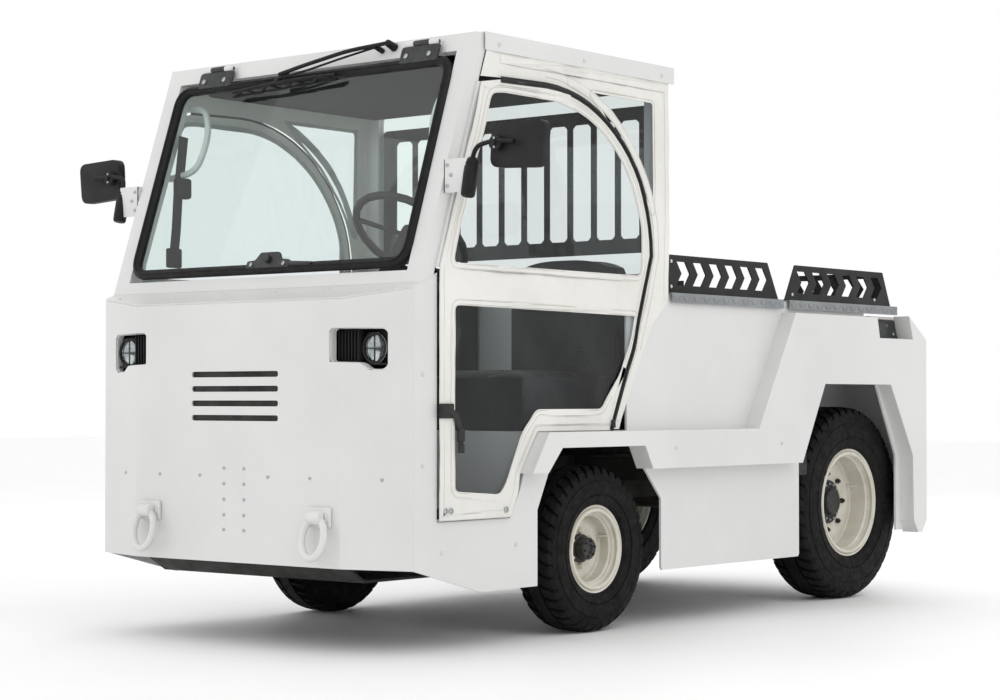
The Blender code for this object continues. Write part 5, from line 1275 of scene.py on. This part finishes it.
hitch_bolts = [(x, hitch_y + 0.016, z) for x in (-0.088, 0.088) for z in (0.352, 0.430, 0.508)]
set_in(copies_at(hexagon_nut(0.024, 0.012), hitch_bolts, (0, 1, 0)), "hitch_bolts", zinc)


# ---- Tail lamps ----
# A dark bolted plate with its wiring pocket closes each notch behind the deck, its dark grey partly painted
# shade for the notch's shadow, and a round red lens in a rubber ring sits on each side of the rear wall.
red_lens, tree, shader = finish_named("red_acrylic_lens", "#7E0F10", 0.16)
between(tree, grain(tree, 0.03, 2.0), "#6E0B0C", "#941416", shader.inputs["Base Color"])
shader.inputs["Coat Weight"].default_value = 0.6
cells = node(tree, "TexVoronoi", {"Scale": 1 / 0.006}, {"Vector": node(tree, "TexCoord").outputs["Object"]})
# prisms moulded 6 mm apart
raised(tree, shader, cells.outputs["Distance"], 0.0010)
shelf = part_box("tail_lamp_left")[0].z
plate_outline = round_corners([(1.663, shelf), (1.903, shelf), (1.877, shelf + 0.071),
                               (1.691, shelf + 0.071)], 0.006, 3)
# the plate's dark grey is partly painted shade, standing in for the shade inside the notch
backing = cut_sheet([plate_outline], 0.005, side_at(0.6700), 0.001)
pocket = block_between((0.6725, 1.690, shelf + 0.001), (0.6860, 1.800, shelf + 0.060), 0.006)
on_both_sides(joined([backing, pocket]), "tail_lamp_plate_{}", dark_fitting_and_notch_shade, "chassis", 35,
              ("tail_lamp_{}",))
bolts = copies_at(button_screw(0.0062), [(0.6725, y, shelf + up) for y, up in (
    (1.682, 0.020), (1.815, 0.052), (1.868, 0.020))], (1, 0, 0))
on_both_sides(bolts, "tail_lamp_bolts_{}", zinc, "chassis", 35)
rear_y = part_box("rear_wall")[1].y - AXLE_Y
rear_lens = rod_between((0.520, rear_y - 0.001, 0.930), (0.520, rear_y + 0.016, 0.930), 0.048, 36, 0.044,
                        0.005)
on_both_sides(rear_lens, "rear_lamp_lens_{}", red_lens, "chassis", 35)
lamp_ring = turned([(0.000, 0.049), (0.000, 0.060), (0.008, 0.059), (0.010, 0.050)], 40, closed=True)
lamp_ring.data.transform(Matrix.Translation((0.520, rear_y, 0.930))
                         @ Matrix.Rotation(math.radians(90), 4, "Z"))
on_both_sides(lamp_ring, "rear_lamp_ring_{}", seal_rubber, "chassis", 35)


# ---- Deck lids ----
# Folded 5 mm steel tread plate, bare and dulled by use: low lens-shaped bars rolled at right angles
# to each other 30 mm apart.  The two lids hinge on one line across the deck.
tread_steel, tree, shader = finish_named("rolled_steel_tread_plate", "#8F9294", 0.44, 0.85)
between(tree, grain(tree, 0.09, 5.0), "#8B8E90", "#989B9D", shader.inputs["Base Color"])
between(tree, grain(tree, 0.03, 5.0), 0.40, 0.50, shader.inputs["Roughness"])
# rolled skin: 2 mm grains, 0.08 mm high
raised(tree, shader, grain(tree, 0.002, 2.0), 0.00008)
coat(["front_deck_lid", "rear_deck_lid"], tread_steel)


def tread_bars(low, high, z, inset=0.012):
    """Raised bars over a flat lid: one is modelled, and each stands crosswise to its neighbours."""
    bpy.ops.object.select_all(action="DESELECT")
    bpy.ops.mesh.primitive_cube_add(size=1, scale=(0.024, 0.006, 0.0018), location=(0, 0, 0.0009))
    bar = bpy.context.object
    bpy.ops.object.transform_apply(location=True, rotation=True, scale=True)
    bpy.ops.object.mode_set(mode="EDIT")
    shell = bmesh.from_edit_mesh(bar.data)
    bpy.ops.mesh.select_all(action="SELECT")
    bpy.ops.mesh.subdivide(number_cuts=1)
    for vert in list(shell.verts):
        vert.co.y *= 0.15 + 0.85 * (1 - (abs(vert.co.x) / 0.012) ** 2)
        if vert.co.z > 0.0015:
            vert.co.x *= 0.80
            vert.co.y *= 0.55
    for face in list(shell.faces):
        face.select_set(face.normal.z < -0.9)
    bmesh.update_edit_mesh(bar.data)
    bpy.ops.mesh.delete(type="ONLY_FACE")
    bpy.ops.object.mode_set(mode="OBJECT")
    sown = bmesh.new()
    pitch = 0.030
    for row in range(int((high[1] - low[1] - 2 * inset) / pitch) + 1):
        for column in range(int((high[0] - low[0] - 2 * inset) / pitch) + 1):
            turn = math.radians(45 if (row + column) % 2 else -45)
            copy = bar.data.copy()
            spot = (low[0] + inset + column * pitch, low[1] + inset + row * pitch, z)
            copy.transform(Matrix.Translation(spot) @ Matrix.Rotation(turn, 4, "Z"))
            sown.from_mesh(copy)
            bpy.data.meshes.remove(copy)
    sown.to_mesh(bar.data)
    sown.free()
    return bar


for lid in ("front", "rear"):
    low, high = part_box(f"{lid}_deck_lid")
    low, high = low - Vector((0, AXLE_Y, 0)), high - Vector((0, AXLE_Y, 0))
    # the bars stop short of the hinge line between the lids
    if lid == "front":
        high.y = 1.050
    else:
        low.y = 1.090
    set_in(tread_bars((low.x + 0.006, low.y + 0.006), (high.x - 0.006, high.y - 0.006), high.z - 0.0001),
           f"{lid}_lid_tread", tread_steel, f"{lid}_deck_lid", 30)
    edge_bars = []
    for side in (1, -1):
        bars = tread_bars((low.y + 0.004, low.z + 0.004), (high.y - 0.004, high.z - 0.004), 0.0, 0.010)
        if side > 0:
            bars.data.transform(side_at(high.x - 0.0001))
        else:
            bars.data.transform(Matrix.Translation((low.x + 0.0001, 0, 0)) @ Matrix.Diagonal((-1, 1, 1, 1))
                                @ ON_SIDE)
            bars.data.flip_normals()
        edge_bars.append(bars)
    set_in(joined(edge_bars), f"{lid}_lid_edge_tread", tread_steel, f"{lid}_deck_lid", 30)


# ---- Cargo rails ----
# Laser-cut 5 mm plates with arrow-shaped slots, bolted through flanged feet to the lids.
coat(["front_rail_left", "front_rail_right", "rear_rail_left", "rear_rail_right"], powder_black)
for lid in ("front", "rear"):
    low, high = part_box(f"{lid}_rail_left")
    low_y, high_y = low.y - AXLE_Y, high.y - AXLE_Y
    screws = ((0.016, 0.022), (0.016, 0.108)) if lid == "front" else ((0.050, 0.022), (0.640, 0.022))
    outside = copies_at(button_screw(0.0060), [(high.x, low_y + along, low.z + up) for along, up in screws],
                        (1, 0, 0))
    on_both_sides(outside, lid + "_rail_screws_{}", white_screw, f"{lid}_deck_lid", 30)
    feet = [(0.648, low_y + t * (high_y - low_y - 0.07) + 0.035, low.z + 0.004)
            for t in (0.0, 0.25, 0.5, 0.75, 1.0)]
    on_both_sides(copies_at(button_screw(0.0062), feet, (0, 0, 1)), lid + "_rail_foot_bolts_{}", zinc,
                  f"{lid}_deck_lid", 30)


# ---- Wheelhouses ----
# Flat steel liners inboard of the rear wheels keep their dirt off the deck's well, powder-coated
# with the body and welded to it.
LINER_X, LINER_FOOT = 0.420, 0.5615
for name, side in SIDES:
    rear_liner = cut_sheet([[(1.230, 0.560), (1.290, 0.800), (1.340, 0.845), (1.900, 0.845), (1.995, 0.700),
                             (1.995, 0.420), (1.230, 0.500)]], 0.004, side_at(side * LINER_X), 0.001)
    for vert in rear_liner.data.vertices:
        vert.co.z = max(vert.co.z, LINER_FOOT)
    set_in(rear_liner, f"rear_wheelhouse_{name}", powder_white)
